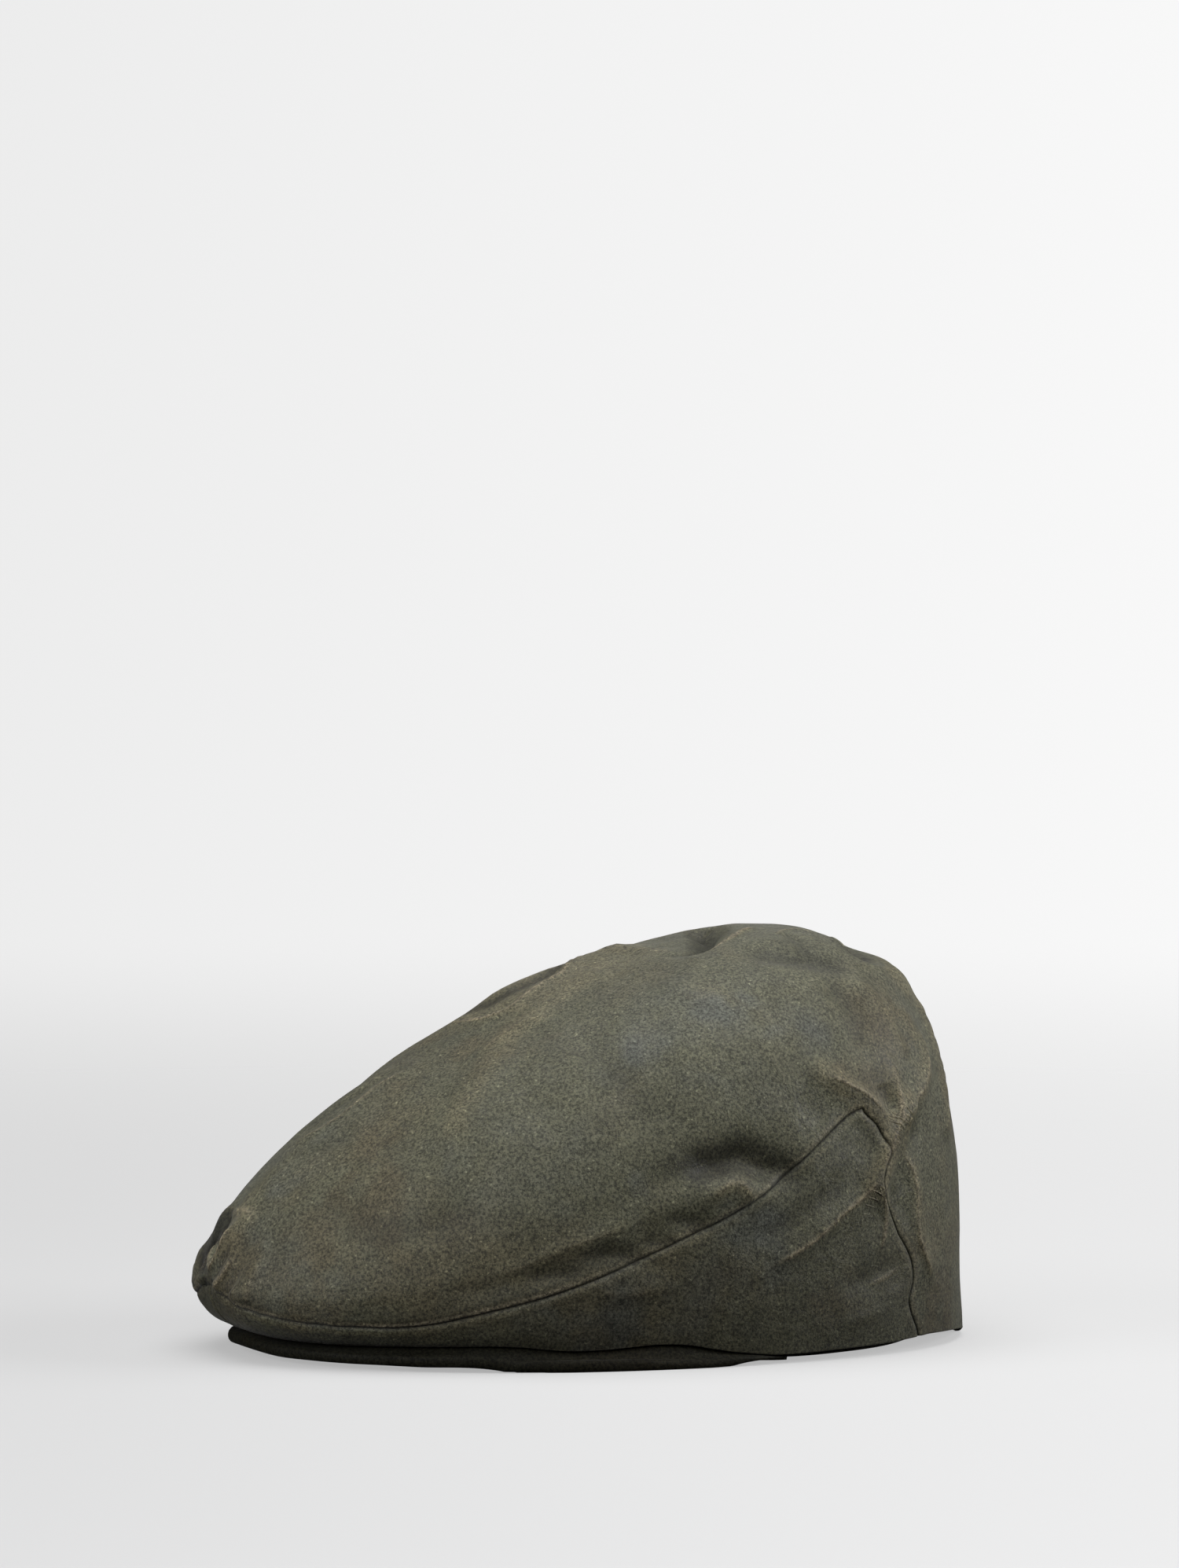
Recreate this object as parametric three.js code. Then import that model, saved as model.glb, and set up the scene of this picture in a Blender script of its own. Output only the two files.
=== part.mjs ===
import * as THREE from 'three';

// Waxed flat cap in millimetres: front toward -Y, the wearer's left toward +X, +Z up

// Main sizes
const crownLength = 253;
const crownWidth = 177;
const crownHeight = 132;
const clothThickness = 1.6;
const bandThickness = 1.2;
const bandHeight = 30;
const peakThickness = 4.4;
const clearance = 0.3;
const seamGap = 0.7;

// Distances from the centre of the opening, measured forward, back and to the side
const crownFront = 0.5514 * crownLength;
const crownRear = 0.4427 * crownLength;
const crownSide = crownWidth / 2;
const hemFront = 0.494 * crownLength;
const hemRear = crownLength - crownFront;
const hemSide = 0.478 * crownWidth;
const bandFront = 0.3296 * crownLength;
const bandInset = clothThickness + 3 * clearance;
const bandLean = 0.08 * bandHeight;
const centreY = crownLength / 2 - hemRear;

// Highest point of the crown
const poleY = 0.245 * crownLength;

// Fullness of the ovals seen from above, where 2 is an ellipse
const planPower = 2.13;

// Share of the way from the pole to the hem that is spent above the widest line
const wideShare = 0.8;

// Peak: how far its rim stands out past the crown, where its ends are, and how thin they get
const peakOverhang = 0.0119 * crownLength;
const peakEnd = 103;
const peakEndShare = 0.35;

// Mesh counts
const sideSpokes = 26;
const rearSpokes = 24;
const crownRings = 18;
const skirtRings = 9;
const peakSteps = 36;
const bandSteps = 56;

// Shape of the crown, a row for each direction from the front (0) to the back (180), in degrees
// widest: height of the widest line as a share of crownHeight
// power: fullness of the dome above it; turn: degrees that the cloth turns under below it
const sections = [
  { around: 0, widest: 0.174, power: 1.53, turn: 84 },
  { around: 30, widest: 0.16, power: 1.56, turn: 82 },
  { around: 60, widest: 0.22, power: 1.78, turn: 72 },
  { around: 90, widest: 0.33, power: 2.2, turn: 48 },
  { around: 120, widest: 0.32, power: 2.5, turn: 34 },
  { around: 150, widest: 0.2, power: 2.7, turn: 30 },
  { around: 180, widest: 0.12, power: 2.6, turn: 30 },
];

// Height of the free hem behind the peak, and of the band's foot, as shares of crownHeight
const hemHeights = [
  { around: 0, lift: 0.03, foot: 0.1 },
  { around: 30, lift: 0.03, foot: 0.088 },
  { around: 60, lift: 0.03, foot: 0.056 },
  { around: 90, lift: 0.03, foot: 0.026 },
  { around: 103, lift: 0.0225, foot: 0.014 },
  { around: 115, lift: 0.026, foot: 0.015 },
  { around: 126, lift: 0.03, foot: 0.02 },
  { around: 138, lift: 0.036, foot: 0.034 },
  { around: 163, lift: 0.018, foot: 0.028 },
  { around: 172, lift: -0.004, foot: 0.02 },
  { around: 180, lift: -0.006, foot: 0.018 },
];

// Underside of the peak above the surface, at its rim and inner edge, as shares of crownHeight
const peakHeights = [
  { around: 0, rim: 0.019, inner: 0.086 },
  { around: 17, rim: 0.01, inner: 0.084 },
  { around: 46, rim: 0.006, inner: 0.07 },
  { around: 59, rim: 0.003, inner: 0.052 },
  { around: 70, rim: -0.045, inner: 0.042 },
  { around: 86, rim: -0.045, inner: 0.036 },
  { around: 94, rim: 0.003, inner: 0.016 },
  { around: 104, rim: 0.006, inner: 0.008 },
];

// Long seam between the top panel and a side panel, as heights in shares of crownHeight
const seamHeights = [
  { around: 0, height: 0.172 },
  { around: 6, height: 0.158 },
  { around: 15, height: 0.13 },
  { around: 30, height: 0.108 },
  { around: 48, height: 0.108 },
  { around: 60, height: 0.145 },
  { around: 70, height: 0.19 },
  { around: 80, height: 0.26 },
  { around: 90, height: 0.345 },
  { around: 100, height: 0.435 },
  { around: 110, height: 0.545 },
  { around: 117.5, height: 0.6 },
];

// Rear seam of a side panel from its top corner (0) down to the hem (1)
const rearSeam = [
  { down: 0, around: 117.5 },
  { down: 0.15, around: 122 },
  { down: 0.3, around: 121.5 },
  { down: 0.45, around: 126 },
  { down: 0.6, around: 130.5 },
  { down: 0.8, around: 129 },
  { down: 1, around: 133 },
];

// Folds and dents: two ends and a middle, each a direction and a share of the way down
// rise: height of the fold (depth, when negative) and half: half its width, as shares of crownHeight
// far: share of the fold that the right side repeats
const folds = [
  // Long ridge from the front edge up over the top
  { fromA: 4, fromD: 0.66, midA: -6, midD: 0.5, toA: -14, toD: 0.34, rise: 0.012, half: 0.06, far: 0 },
  { fromA: -12, fromD: 0.29, midA: -19, midD: 0.24, toA: -29, toD: 0.19, rise: 0.03, half: 0.09, far: 0.4 },
  // Dent and ridge beside the pole
  { fromA: -75, fromD: 0.09, midA: 5, midD: 0.088, toA: 66, toD: 0.148, rise: -0.028, half: 0.034, far: 0 },
  { fromA: -60, fromD: 0.16, midA: -30, midD: 0.17, toA: 0, toD: 0.16, rise: -0.006, half: 0.12, far: 0 },
  { fromA: -100, fromD: 0.06, midA: 74, midD: 0.08, toA: 72, toD: 0.185, rise: 0.003, half: 0.05, far: 0 },
  { fromA: 100, fromD: 0.2, midA: 114, midD: 0.23, toA: 125, toD: 0.26, rise: -0.016, half: 0.05, far: 0.6 },
  { fromA: 176, fromD: 0.16, midA: 164, midD: 0.19, toA: 152, toD: 0.22, rise: -0.03, half: 0.05, far: 0 },
  // Corner where the top turns down to the back
  { fromA: 178, fromD: 0.32, midA: 167, midD: 0.32, toA: 155, toD: 0.33, rise: 0.02, half: 0.07, far: 1 },
  // Creases down the back corner
  { fromA: 160, fromD: 0.42, midA: 153, midD: 0.54, toA: 149, toD: 0.64, rise: 0.012, half: 0.035, far: 1 },
  { fromA: 141, fromD: 0.44, midA: 142, midD: 0.54, toA: 130, toD: 0.63, rise: 0.01, half: 0.045, far: 0.8 },
  { fromA: 130, fromD: 0.63, midA: 125, midD: 0.69, toA: 120, toD: 0.75, rise: 0.018, half: 0.04, far: 0.8 },
  { fromA: 131.5, fromD: 0.72, midA: 132.5, midD: 0.78, toA: 136.5, toD: 0.84, rise: 0.006, half: 0.04, far: 0.8 },
  // Fold and hooked dent above the top corner of the side panel
  { fromA: 110, fromD: 0.55, midA: 116, midD: 0.6, toA: 121, toD: 0.64, rise: 0.014, half: 0.04, far: 0.8 },
  { fromA: 89, fromD: 0.69, midA: 94, midD: 0.68, toA: 101.5, toD: 0.725, rise: -0.021, half: 0.042, far: 0.7 },
  { fromA: 90, fromD: 0.745, midA: 93, midD: 0.742, toA: 96, toD: 0.755, rise: 0.006, half: 0.032, far: 0.7 },
  // Dents and ridges above the long seam
  { fromA: 82, fromD: 0.785, midA: 85, midD: 0.79, toA: 89, toD: 0.795, rise: -0.006, half: 0.03, far: 0.8 },
  { fromA: 68, fromD: 0.8, midA: 76, midD: 0.815, toA: 81, toD: 0.82, rise: -0.006, half: 0.042, far: 0.8 },
  { fromA: 70, fromD: 0.775, midA: 78, midD: 0.762, toA: 86, toD: 0.753, rise: 0.003, half: 0.035, far: 0.8 },
  // Side panel creases
  { fromA: 102, fromD: 0.84, midA: 112, midD: 0.795, toA: 120, toD: 0.76, rise: 0.004, half: 0.03, far: 1 },
  { fromA: 77, fromD: 0.845, midA: 80, midD: 0.86, toA: 84, toD: 0.875, rise: 0.004, half: 0.035, far: 1 },
  { fromA: 116, fromD: 0.89, midA: 121, midD: 0.88, toA: 125, toD: 0.87, rise: -0.01, half: 0.035, far: 1 },
  // Gathers at the front edge
  { fromA: 7, fromD: 0.66, midA: 5, midD: 0.72, toA: 4, toD: 0.77, rise: 0.014, half: 0.035, far: 1 },
  { fromA: -4, fromD: 0.66, midA: -4, midD: 0.695, toA: -6, toD: 0.735, rise: -0.014, half: 0.035, far: 0 },
  { fromA: 16, fromD: 0.73, midA: 14, midD: 0.77, toA: 13, toD: 0.81, rise: 0.01, half: 0.03, far: 1 },
];

const radians = Math.PI / 180;
const clamp = THREE.MathUtils.clamp;
const lerp = THREE.MathUtils.lerp;

// Smooth value between the rows of a table
function smoothRow(table, at, position, column) {
  let row = 0;
  while (row < table.length - 2 && position > table[row + 1][at]) {
    row += 1;
  }
  const before = table[Math.max(row - 1, 0)];
  const low = table[row];
  const high = table[row + 1];
  const after = table[Math.min(row + 2, table.length - 1)];
  const span = high[at] - low[at];
  const share = clamp((position - low[at]) / span, 0, 1);
  const slopeLow = row === 0 ? 0 : (high[column] - before[column]) / (high[at] - before[at]);
  const lastRow = row === table.length - 2;
  const slopeHigh = lastRow ? 0 : (after[column] - low[column]) / (after[at] - low[at]);
  const square = share * share;
  const cube = square * share;
  return low[column] * (2 * cube - 3 * square + 1)
    + slopeLow * span * (cube - 2 * square + share)
    + high[column] * (3 * square - 2 * cube)
    + slopeHigh * span * (cube - square);
}

// Point of an oval about the opening's centre, seen from above
function oval(around, front, side, rear) {
  const cos = Math.cos(around * radians);
  const sin = Math.sin(around * radians);
  const power = 2 / planPower;
  const x = side * Math.sign(sin) * Math.abs(sin) ** power;
  const y = Math.abs(cos) ** power;
  return new THREE.Vector2(x, centreY + (cos > 0 ? -front * y : rear * y));
}

// Peak: share of the way from its inner edge (0) to its rim (1)
function peakInner(around) {
  const inset = bandInset - clearance;
  return oval(around, bandFront + clearance, hemSide - inset, hemRear - inset);
}

function peakOut(around) {
  const end = clamp((Math.abs(around) - 70) / (peakEnd - 70), 0, 1);
  return lerp(peakOverhang, 0.2 * peakOverhang, end);
}

function peakRim(around) {
  const out = peakOut(around);
  return oval(around, hemFront + out, hemSide + out, hemRear + out);
}

function peakDepth(around) {
  const end = clamp((Math.abs(around) - 80) / (peakEnd - 80), 0, 1);
  return peakThickness * lerp(1, peakEndShare, end);
}

function peakUnder(around, share) {
  const turn = Math.abs(around);
  const rim = smoothRow(peakHeights, 'around', turn, 'rim');
  const inner = smoothRow(peakHeights, 'around', turn, 'inner');
  return crownHeight * lerp(inner, rim, share ** 1.6);
}

function peakTop(around, share) {
  return Math.max(peakUnder(around, share), 0) + peakDepth(around);
}

// Height of the peak's top under a place seen from above
function peakTopAt(plan, near) {
  const limit = Math.min(near, peakEnd);
  let low = Math.max(limit - 30, -10);
  let high = limit + 30;
  for (let i = 0; i < 30; i += 1) {
    const middle = (low + high) / 2;
    const inner = peakInner(middle);
    const across = peakRim(middle).sub(inner);
    if (across.cross(plan.clone().sub(inner)) > 0) {
      low = middle;
    } else {
      high = middle;
    }
  }
  const around = Math.min(low, peakEnd);
  const inner = peakInner(around);
  const share = plan.distanceTo(inner) / peakRim(around).distanceTo(inner);
  return peakTop(around, clamp(share, 0, 1));
}

// Lower edge of the crown: on the peak at the front, free behind it
function hemHeight(turn) {
  const plan = oval(turn, hemFront, hemSide, hemRear);
  const inside = oval(turn, hemFront - clothThickness, hemSide - clothThickness, hemRear - clothThickness);
  const onPeak = clearance + Math.max(peakTopAt(plan, turn), peakTopAt(inside, turn));
  const free = crownHeight * smoothRow(hemHeights, 'around', turn, 'lift');
  const leave = THREE.MathUtils.smoothstep(turn, peakEnd + 3, peakEnd + 12);
  return lerp(Math.max(onPeak, free), free, leave);
}

const hemTable = [];
for (let turn = 0; turn <= 180; turn += 1) {
  hemTable.push(hemHeight(turn));
}

function hemPoint(around) {
  const plan = oval(around, hemFront, hemSide, hemRear);
  const turn = Math.min(Math.abs(around), 180);
  const row = Math.min(Math.floor(turn), 179);
  return new THREE.Vector3(plan.x, plan.y, lerp(hemTable[row], hemTable[row + 1], turn - row));
}

// Smooth crown before any fold: direction in degrees, and share of the way down from pole to hem
function plainCrown(around, down) {
  const turn = Math.abs(around);
  const widest = crownHeight * smoothRow(sections, 'around', turn, 'widest');
  const edge = oval(around, crownFront, crownSide, crownRear);
  if (down <= wideShare) {
    const power = 2 / smoothRow(sections, 'around', turn, 'power');
    const angle = (down / wideShare) * Math.PI / 2;
    const out = Math.sin(angle) ** power;
    const up = Math.max(Math.cos(angle), 0) ** power;
    return new THREE.Vector3(
      edge.x * out,
      lerp(poleY, edge.y, out),
      lerp(widest, crownHeight, up),
    );
  }
  const hem = hemPoint(around);
  const full = radians * smoothRow(sections, 'around', turn, 'turn');
  const angle = full * (down - wideShare) / (1 - wideShare);
  const out = (Math.cos(angle) - Math.cos(full)) / (1 - Math.cos(full));
  const drop = Math.sin(angle) / Math.sin(full);
  return new THREE.Vector3(
    lerp(hem.x, edge.x, out),
    lerp(hem.y, edge.y, out),
    lerp(widest, hem.z, drop),
  );
}

// Outward direction of a surface given as a function of direction and share down
function outward(surface, around, down) {
  const step = 0.0015;
  const high = clamp(down, 0.02, 1 - step);
  const across = surface(around + 0.3, high).sub(surface(around - 0.3, high));
  const along = surface(around, high + step).sub(surface(around, high - step));
  return along.cross(across).normalize();
}

// Distance from a point to a line of points
function distanceTo(line, point) {
  let nearest = Infinity;
  for (let i = 0; i < line.length - 1; i += 1) {
    const part = new THREE.Line3(line[i], line[i + 1]);
    const foot = part.closestPointToPoint(point, true, new THREE.Vector3());
    nearest = Math.min(nearest, foot.distanceTo(point));
  }
  return nearest;
}

// Fold as a line on the plain crown, on the side where it is seen (1) or repeated (-1)
function foldLine(fold, side) {
  return {
    rise: fold.rise * crownHeight * (side > 0 ? 1 : fold.far),
    half: fold.half * crownHeight,
    line: [
      plainCrown(side * fold.fromA, fold.fromD),
      plainCrown(side * fold.midA, fold.midD),
      plainCrown(side * fold.toA, fold.toD),
    ],
  };
}

const foldLines = folds.map((fold) => foldLine(fold, 1));
for (const fold of folds) {
  if (fold.far > 0) {
    foldLines.push(foldLine(fold, -1));
  }
}

// Crown with its folds
function crown(around, down) {
  const point = plainCrown(around, down);
  let rise = 0;
  for (const fold of foldLines) {
    const reach = distanceTo(fold.line, point) / fold.half;
    rise += fold.rise * Math.exp(-reach * reach);
  }
  if (rise === 0) {
    return point;
  }
  return point.addScaledVector(outward(plainCrown, around, down), rise);
}

// Share down at which the crown passes a height
function downAtHeight(around, height) {
  let low = 0.05;
  let high = 1;
  for (let i = 0; i < 40; i += 1) {
    const middle = (low + high) / 2;
    if (plainCrown(around, middle).z > height) {
      low = middle;
    } else {
      high = middle;
    }
  }
  return low;
}

const apexAround = rearSeam[0].around;

// Share of the way round to the rear seam at a spoke, closer together at the front edge
function spokeShare(i) {
  return (i / sideSpokes) ** 1.15;
}

function seamDown(around) {
  const turn = Math.abs(around);
  return downAtHeight(around, crownHeight * smoothRow(seamHeights, 'around', turn, 'height'));
}

const apexDown = seamDown(apexAround);

function rearAround(down) {
  const share = (down - apexDown) / (1 - apexDown);
  return smoothRow(rearSeam, 'down', clamp(share, 0, 1), 'around');
}

// Step that opens half a gap square to a seam, given the crown's change per step and the seam's run
function halfGap(change, run) {
  const along = run.clone().normalize();
  return 0.5 * seamGap / change.addScaledVector(along, -change.dot(along)).length();
}

// Half of the gap at the long seam, as a share down
function downGap(around) {
  const down = seamDown(around);
  const change = crown(around, down + 0.002).sub(crown(around, down - 0.002));
  const run = crown(around + 1, seamDown(around + 1)).sub(crown(around - 1, seamDown(around - 1)));
  return halfGap(change.divideScalar(0.004), run);
}

// Half of the gap at the rear seam or at the centre front, in degrees around
function aroundGap(around, down, run) {
  const change = crown(around + 0.2, down).sub(crown(around - 0.2, down));
  return halfGap(change.divideScalar(0.4), run);
}

function rearGap(down) {
  const low = Math.min(down, 0.99);
  const above = low - 0.01;
  const below = low + 0.01;
  const run = crown(rearAround(below), below).sub(crown(rearAround(above), above));
  return aroundGap(rearAround(low), low, run);
}

const frontGap = aroundGap(0, 0.9, new THREE.Vector3(0, 0, 1));

// Closed solid from outer points, their outward directions and outer faces
function shell(outer, directions, faces, thickness) {
  const count = outer.length;
  const points = outer.map((point) => new THREE.Vector3(point.x, point.y, Math.max(point.z, 0)));
  for (let i = 0; i < count; i += 1) {
    const inner = outer[i].clone().addScaledVector(directions[i], -thickness);
    inner.z = Math.max(inner.z, 0);
    points.push(inner);
  }
  const triangles = [];
  const edges = new Map();
  for (const face of faces) {
    triangles.push(face);
    triangles.push([face[0] + count, face[2] + count, face[1] + count]);
    for (let i = 0; i < 3; i += 1) {
      edges.set(`${face[i]}_${face[(i + 1) % 3]}`, [face[i], face[(i + 1) % 3]]);
    }
  }
  for (const [from, to] of edges.values()) {
    if (!edges.has(`${to}_${from}`)) {
      triangles.push([to, from, from + count]);
      triangles.push([to, from + count, to + count]);
    }
  }
  return solid(points, triangles);
}

function solid(points, triangles) {
  const positions = [];
  for (const triangle of triangles) {
    for (const index of triangle) {
      positions.push(points[index].x, points[index].y, points[index].z);
    }
  }
  const geometry = new THREE.BufferGeometry();
  geometry.setAttribute('position', new THREE.Float32BufferAttribute(positions, 3));
  geometry.computeVertexNormals();
  return geometry;
}

// Two triangles over a grid cell, its corners in order round the outer face
function quad(faces, a, b, c, d) {
  faces.push([a, b, c]);
  faces.push([a, c, d]);
}

// Top panel: rings round the pole down to the seams, then the skirt at the back
function topPanel() {
  const spokes = [];
  const apexEdge = apexAround + rearGap(apexDown);
  for (let i = 0; i < sideSpokes; i += 1) {
    spokes.push(apexAround * spokeShare(i));
  }
  for (let i = 0; i <= rearSpokes; i += 1) {
    spokes.push(lerp(apexEdge, 360 - apexEdge, i / rearSpokes));
  }
  for (let i = sideSpokes - 1; i > 0; i -= 1) {
    spokes.push(360 - apexAround * spokeShare(i));
  }
  const signed = spokes.map((spoke) => (spoke > 180 ? spoke - 360 : spoke));
  const points = [new THREE.Vector3(0, poleY, crown(0, 0).z)];
  const directions = [new THREE.Vector3(0, 0, 1)];
  const faces = [];
  const apexLimit = apexDown - downGap(apexAround);
  const limits = signed.map((around) => {
    if (Math.abs(around) >= apexAround) {
      return apexLimit;
    }
    return seamDown(around) - downGap(around);
  });
  const total = spokes.length;
  for (let ring = 1; ring <= crownRings; ring += 1) {
    const share = ring === crownRings ? 1 : 0.972 * ring / (crownRings - 1);
    for (let i = 0; i < total; i += 1) {
      const down = share * limits[i];
      points.push(crown(signed[i], down));
      directions.push(outward(crown, signed[i], down));
    }
  }
  for (let i = 0; i < total; i += 1) {
    faces.push([0, 1 + (i + 1) % total, 1 + i].reverse());
  }
  for (let ring = 0; ring < crownRings - 1; ring += 1) {
    for (let i = 0; i < total; i += 1) {
      const next = (i + 1) % total;
      const upper = 1 + ring * total;
      const lower = upper + total;
      quad(faces, upper + i, lower + i, lower + next, upper + next);
    }
  }
  let above = [];
  for (let i = 0; i <= rearSpokes; i += 1) {
    above.push(1 + (crownRings - 1) * total + sideSpokes + i);
  }
  for (let row = 1; row <= skirtRings; row += 1) {
    const down = lerp(apexLimit, 1, row / skirtRings);
    const start = rearAround(down);
    const edge = start + rearGap(down);
    const below = [];
    for (let i = 0; i <= rearSpokes; i += 1) {
      const spoke = lerp(edge, 360 - edge, i / rearSpokes);
      const around = spoke > 180 ? spoke - 360 : spoke;
      below.push(points.length);
      points.push(crown(around, down));
      directions.push(outward(crown, around, down));
    }
    for (let i = 0; i < rearSpokes; i += 1) {
      quad(faces, above[i], below[i], below[i + 1], above[i + 1]);
    }
    above = below;
  }
  return shell(points, directions, faces, clothThickness);
}

// Side panel: below the long seam and in front of the rear seam; side is 1 for the left, -1 for the right
function sidePanel(side) {
  const points = [];
  const directions = [];
  const faces = [];
  const columns = sideSpokes + 1;
  for (let row = 0; row <= skirtRings; row += 1) {
    for (let i = 0; i <= sideSpokes; i += 1) {
      const share = row / skirtRings;
      const guess = lerp(apexDown, 1, share);
      const rear = rearAround(guess);
      let turn = rear * spokeShare(i);
      if (i === 0) {
        turn = frontGap;
      }
      if (i === sideSpokes) {
        turn = rear - rearGap(guess);
      }
      const around = side * turn;
      const corner = side * Math.min(turn, apexAround);
      const start = seamDown(corner) + downGap(corner);
      const down = lerp(start, 1, share);
      points.push(crown(around, down));
      directions.push(outward(crown, around, down));
    }
  }
  for (let row = 0; row < skirtRings; row += 1) {
    for (let i = 0; i < sideSpokes; i += 1) {
      const upper = row * columns + i;
      const lower = upper + columns;
      if (side > 0) {
        quad(faces, upper, lower, lower + 1, upper + 1);
      } else {
        quad(faces, upper, upper + 1, lower + 1, lower);
      }
    }
  }
  return shell(points, directions, faces, clothThickness);
}

// Solid swept through closed loops of points, with flat ends unless the loops close on themselves
function sweep(loops, closed) {
  const size = loops[0].length;
  const points = loops.flat();
  const triangles = [];
  const steps = closed ? loops.length : loops.length - 1;
  for (let i = 0; i < steps; i += 1) {
    const next = (i + 1) % loops.length;
    for (let j = 0; j < size; j += 1) {
      const after = (j + 1) % size;
      quad(triangles, i * size + j, next * size + j, next * size + after, i * size + after);
    }
  }
  if (!closed) {
    const last = (loops.length - 1) * size;
    for (let j = 1; j < size - 1; j += 1) {
      triangles.push([0, j, j + 1]);
      triangles.push([last, last + j + 1, last + j]);
    }
  }
  return solid(points, triangles);
}

// Peak: cross-sections from the inner edge out to the rounded rim and back
function peak() {
  const stations = [0, 0.35, 0.7];
  const loops = [];
  for (let i = 0; i <= peakSteps; i += 1) {
    const around = lerp(-peakEnd, peakEnd, i / peakSteps);
    const inner = peakInner(around);
    const rim = peakRim(around);
    const depth = peakDepth(around);
    const place = (share, height) => {
      const plan = inner.clone().lerp(rim, share);
      return new THREE.Vector3(plan.x, plan.y, height);
    };
    const flat = 1 - clamp(0.45 * depth / rim.distanceTo(inner), 0, 0.3);
    const shares = [...stations, 1].map((station) => station * flat);
    const low = Math.max(peakUnder(around, 1), 0);
    const loop = shares.map((share) => place(share, Math.max(peakUnder(around, share), 0)));
    loop.push(place(lerp(flat, 1, 0.5), low));
    loop.push(place(1, low + 0.35 * depth));
    loop.push(place(1, low + 0.68 * depth));
    for (const share of shares.reverse()) {
      loop.push(place(share, peakTop(around, share)));
    }
    loops.push(loop);
  }
  return sweep(loops, false);
}

// Inner band standing round the opening, its foot level with the peak's inner edge
function band() {
  const loops = [];
  for (let i = 0; i < bandSteps; i += 1) {
    const around = -180 + 360 * i / bandSteps;
    const foot = crownHeight * smoothRow(hemHeights, 'around', Math.abs(around), 'foot');
    const place = (inset, height) => {
      const plan = oval(around, bandFront - inset, hemSide - bandInset - inset, hemRear - bandInset - inset);
      return new THREE.Vector3(plan.x, plan.y, foot + height);
    };
    loops.push([
      place(bandThickness, 0),
      place(0, 0),
      place(bandLean, bandHeight),
      place(bandLean + bandThickness, bandHeight),
    ]);
  }
  return sweep(loops, true);
}

const group = new THREE.Group();
group.name = 'waxed_flat_cap';

function addPiece(name, geometry, color, roughness) {
  const material = new THREE.MeshStandardMaterial({ color, roughness, metalness: 0 });
  const mesh = new THREE.Mesh(geometry, material);
  mesh.name = name;
  group.add(mesh);
}

addPiece('top_panel', topPanel(), 0x45443a, 0.72);
addPiece('left_side_panel', sidePanel(1), 0x3b3a32, 0.74);
addPiece('right_side_panel', sidePanel(-1), 0x3b3a33, 0.74);
addPiece('peak', peak(), 0x2c2b25, 0.7);
addPiece('sweatband', band(), 0x26241f, 0.85);

// Stand the cap on the surface, centred on the origin
const reach = new THREE.Box3().setFromObject(group);
const centre = reach.getCenter(new THREE.Vector3());
for (const mesh of group.children) {
  mesh.geometry.translate(-centre.x, -centre.y, -reach.min.z);
}

export default group;
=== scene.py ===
import math

import bpy
import numpy as np
from mathutils import Matrix, Vector


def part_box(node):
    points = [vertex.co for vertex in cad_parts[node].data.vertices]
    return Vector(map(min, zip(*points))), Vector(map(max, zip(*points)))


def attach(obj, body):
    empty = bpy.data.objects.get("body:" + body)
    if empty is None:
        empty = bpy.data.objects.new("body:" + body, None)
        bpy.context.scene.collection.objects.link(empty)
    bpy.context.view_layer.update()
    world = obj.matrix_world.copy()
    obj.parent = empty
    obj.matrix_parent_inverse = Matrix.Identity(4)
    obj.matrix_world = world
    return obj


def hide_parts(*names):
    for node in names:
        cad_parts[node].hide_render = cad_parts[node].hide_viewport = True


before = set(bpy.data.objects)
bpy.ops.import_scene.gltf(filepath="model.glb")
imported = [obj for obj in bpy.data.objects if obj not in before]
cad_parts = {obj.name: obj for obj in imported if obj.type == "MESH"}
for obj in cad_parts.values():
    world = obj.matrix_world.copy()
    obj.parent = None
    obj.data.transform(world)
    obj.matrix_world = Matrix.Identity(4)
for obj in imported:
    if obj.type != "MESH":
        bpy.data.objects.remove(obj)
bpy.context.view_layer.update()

# Sizes in millimetres, as in the part's source apart from a thinner peak and narrower seams
CROWN_LENGTH = 253.0
CROWN_WIDTH = 177.0
CROWN_HEIGHT = 132.0
CLOTH = 1.6
BAND_THICKNESS = 1.2
BAND_HEIGHT = 30.0
PEAK_THICKNESS = 3.7
CLEARANCE = 0.3

CROWN_FRONT = 0.5514 * CROWN_LENGTH
CROWN_REAR = 0.4427 * CROWN_LENGTH
CROWN_SIDE = CROWN_WIDTH / 2
HEM_FRONT = 0.494 * CROWN_LENGTH
HEM_REAR = CROWN_LENGTH - CROWN_FRONT
HEM_SIDE = 0.478 * CROWN_WIDTH
BAND_FRONT = 0.3296 * CROWN_LENGTH
BAND_INSET = CLOTH + 3 * CLEARANCE
BAND_LEAN = 0.08 * BAND_HEIGHT
CENTRE_Y = CROWN_LENGTH / 2 - HEM_REAR
POLE_Y = 0.245 * CROWN_LENGTH
PLAN_POWER = 2.13
WIDE_SHARE = 0.8
PEAK_OVERHANG = 0.0119 * CROWN_LENGTH
PEAK_END = 103.0
PEAK_END_SHARE = 0.35
PEAK_NARROWS_FROM = 70
PEAK_THINS_FROM = 80
PEAK_TAIL_FROM = 94
SEAM_GAP = 0.07

# Folds reach this many half widths, and taper over this share of their length at each end
FOLD_REACH = 3
TAPER = 0.2

# Soft unevenness of the cloth: height and size in millimetres, and seed
UNEVEN = ((0.4, 26.0, 3), (0.15, 11.0, 5), (0.08, 5.0, 8))
RIDGE_SEED = 11
CREASE_SEED = 21
PUCKER_SEED = 31
PEAK_SEED = 41
PATCH_SEED = 51
NOISE_CELLS = 32

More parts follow.
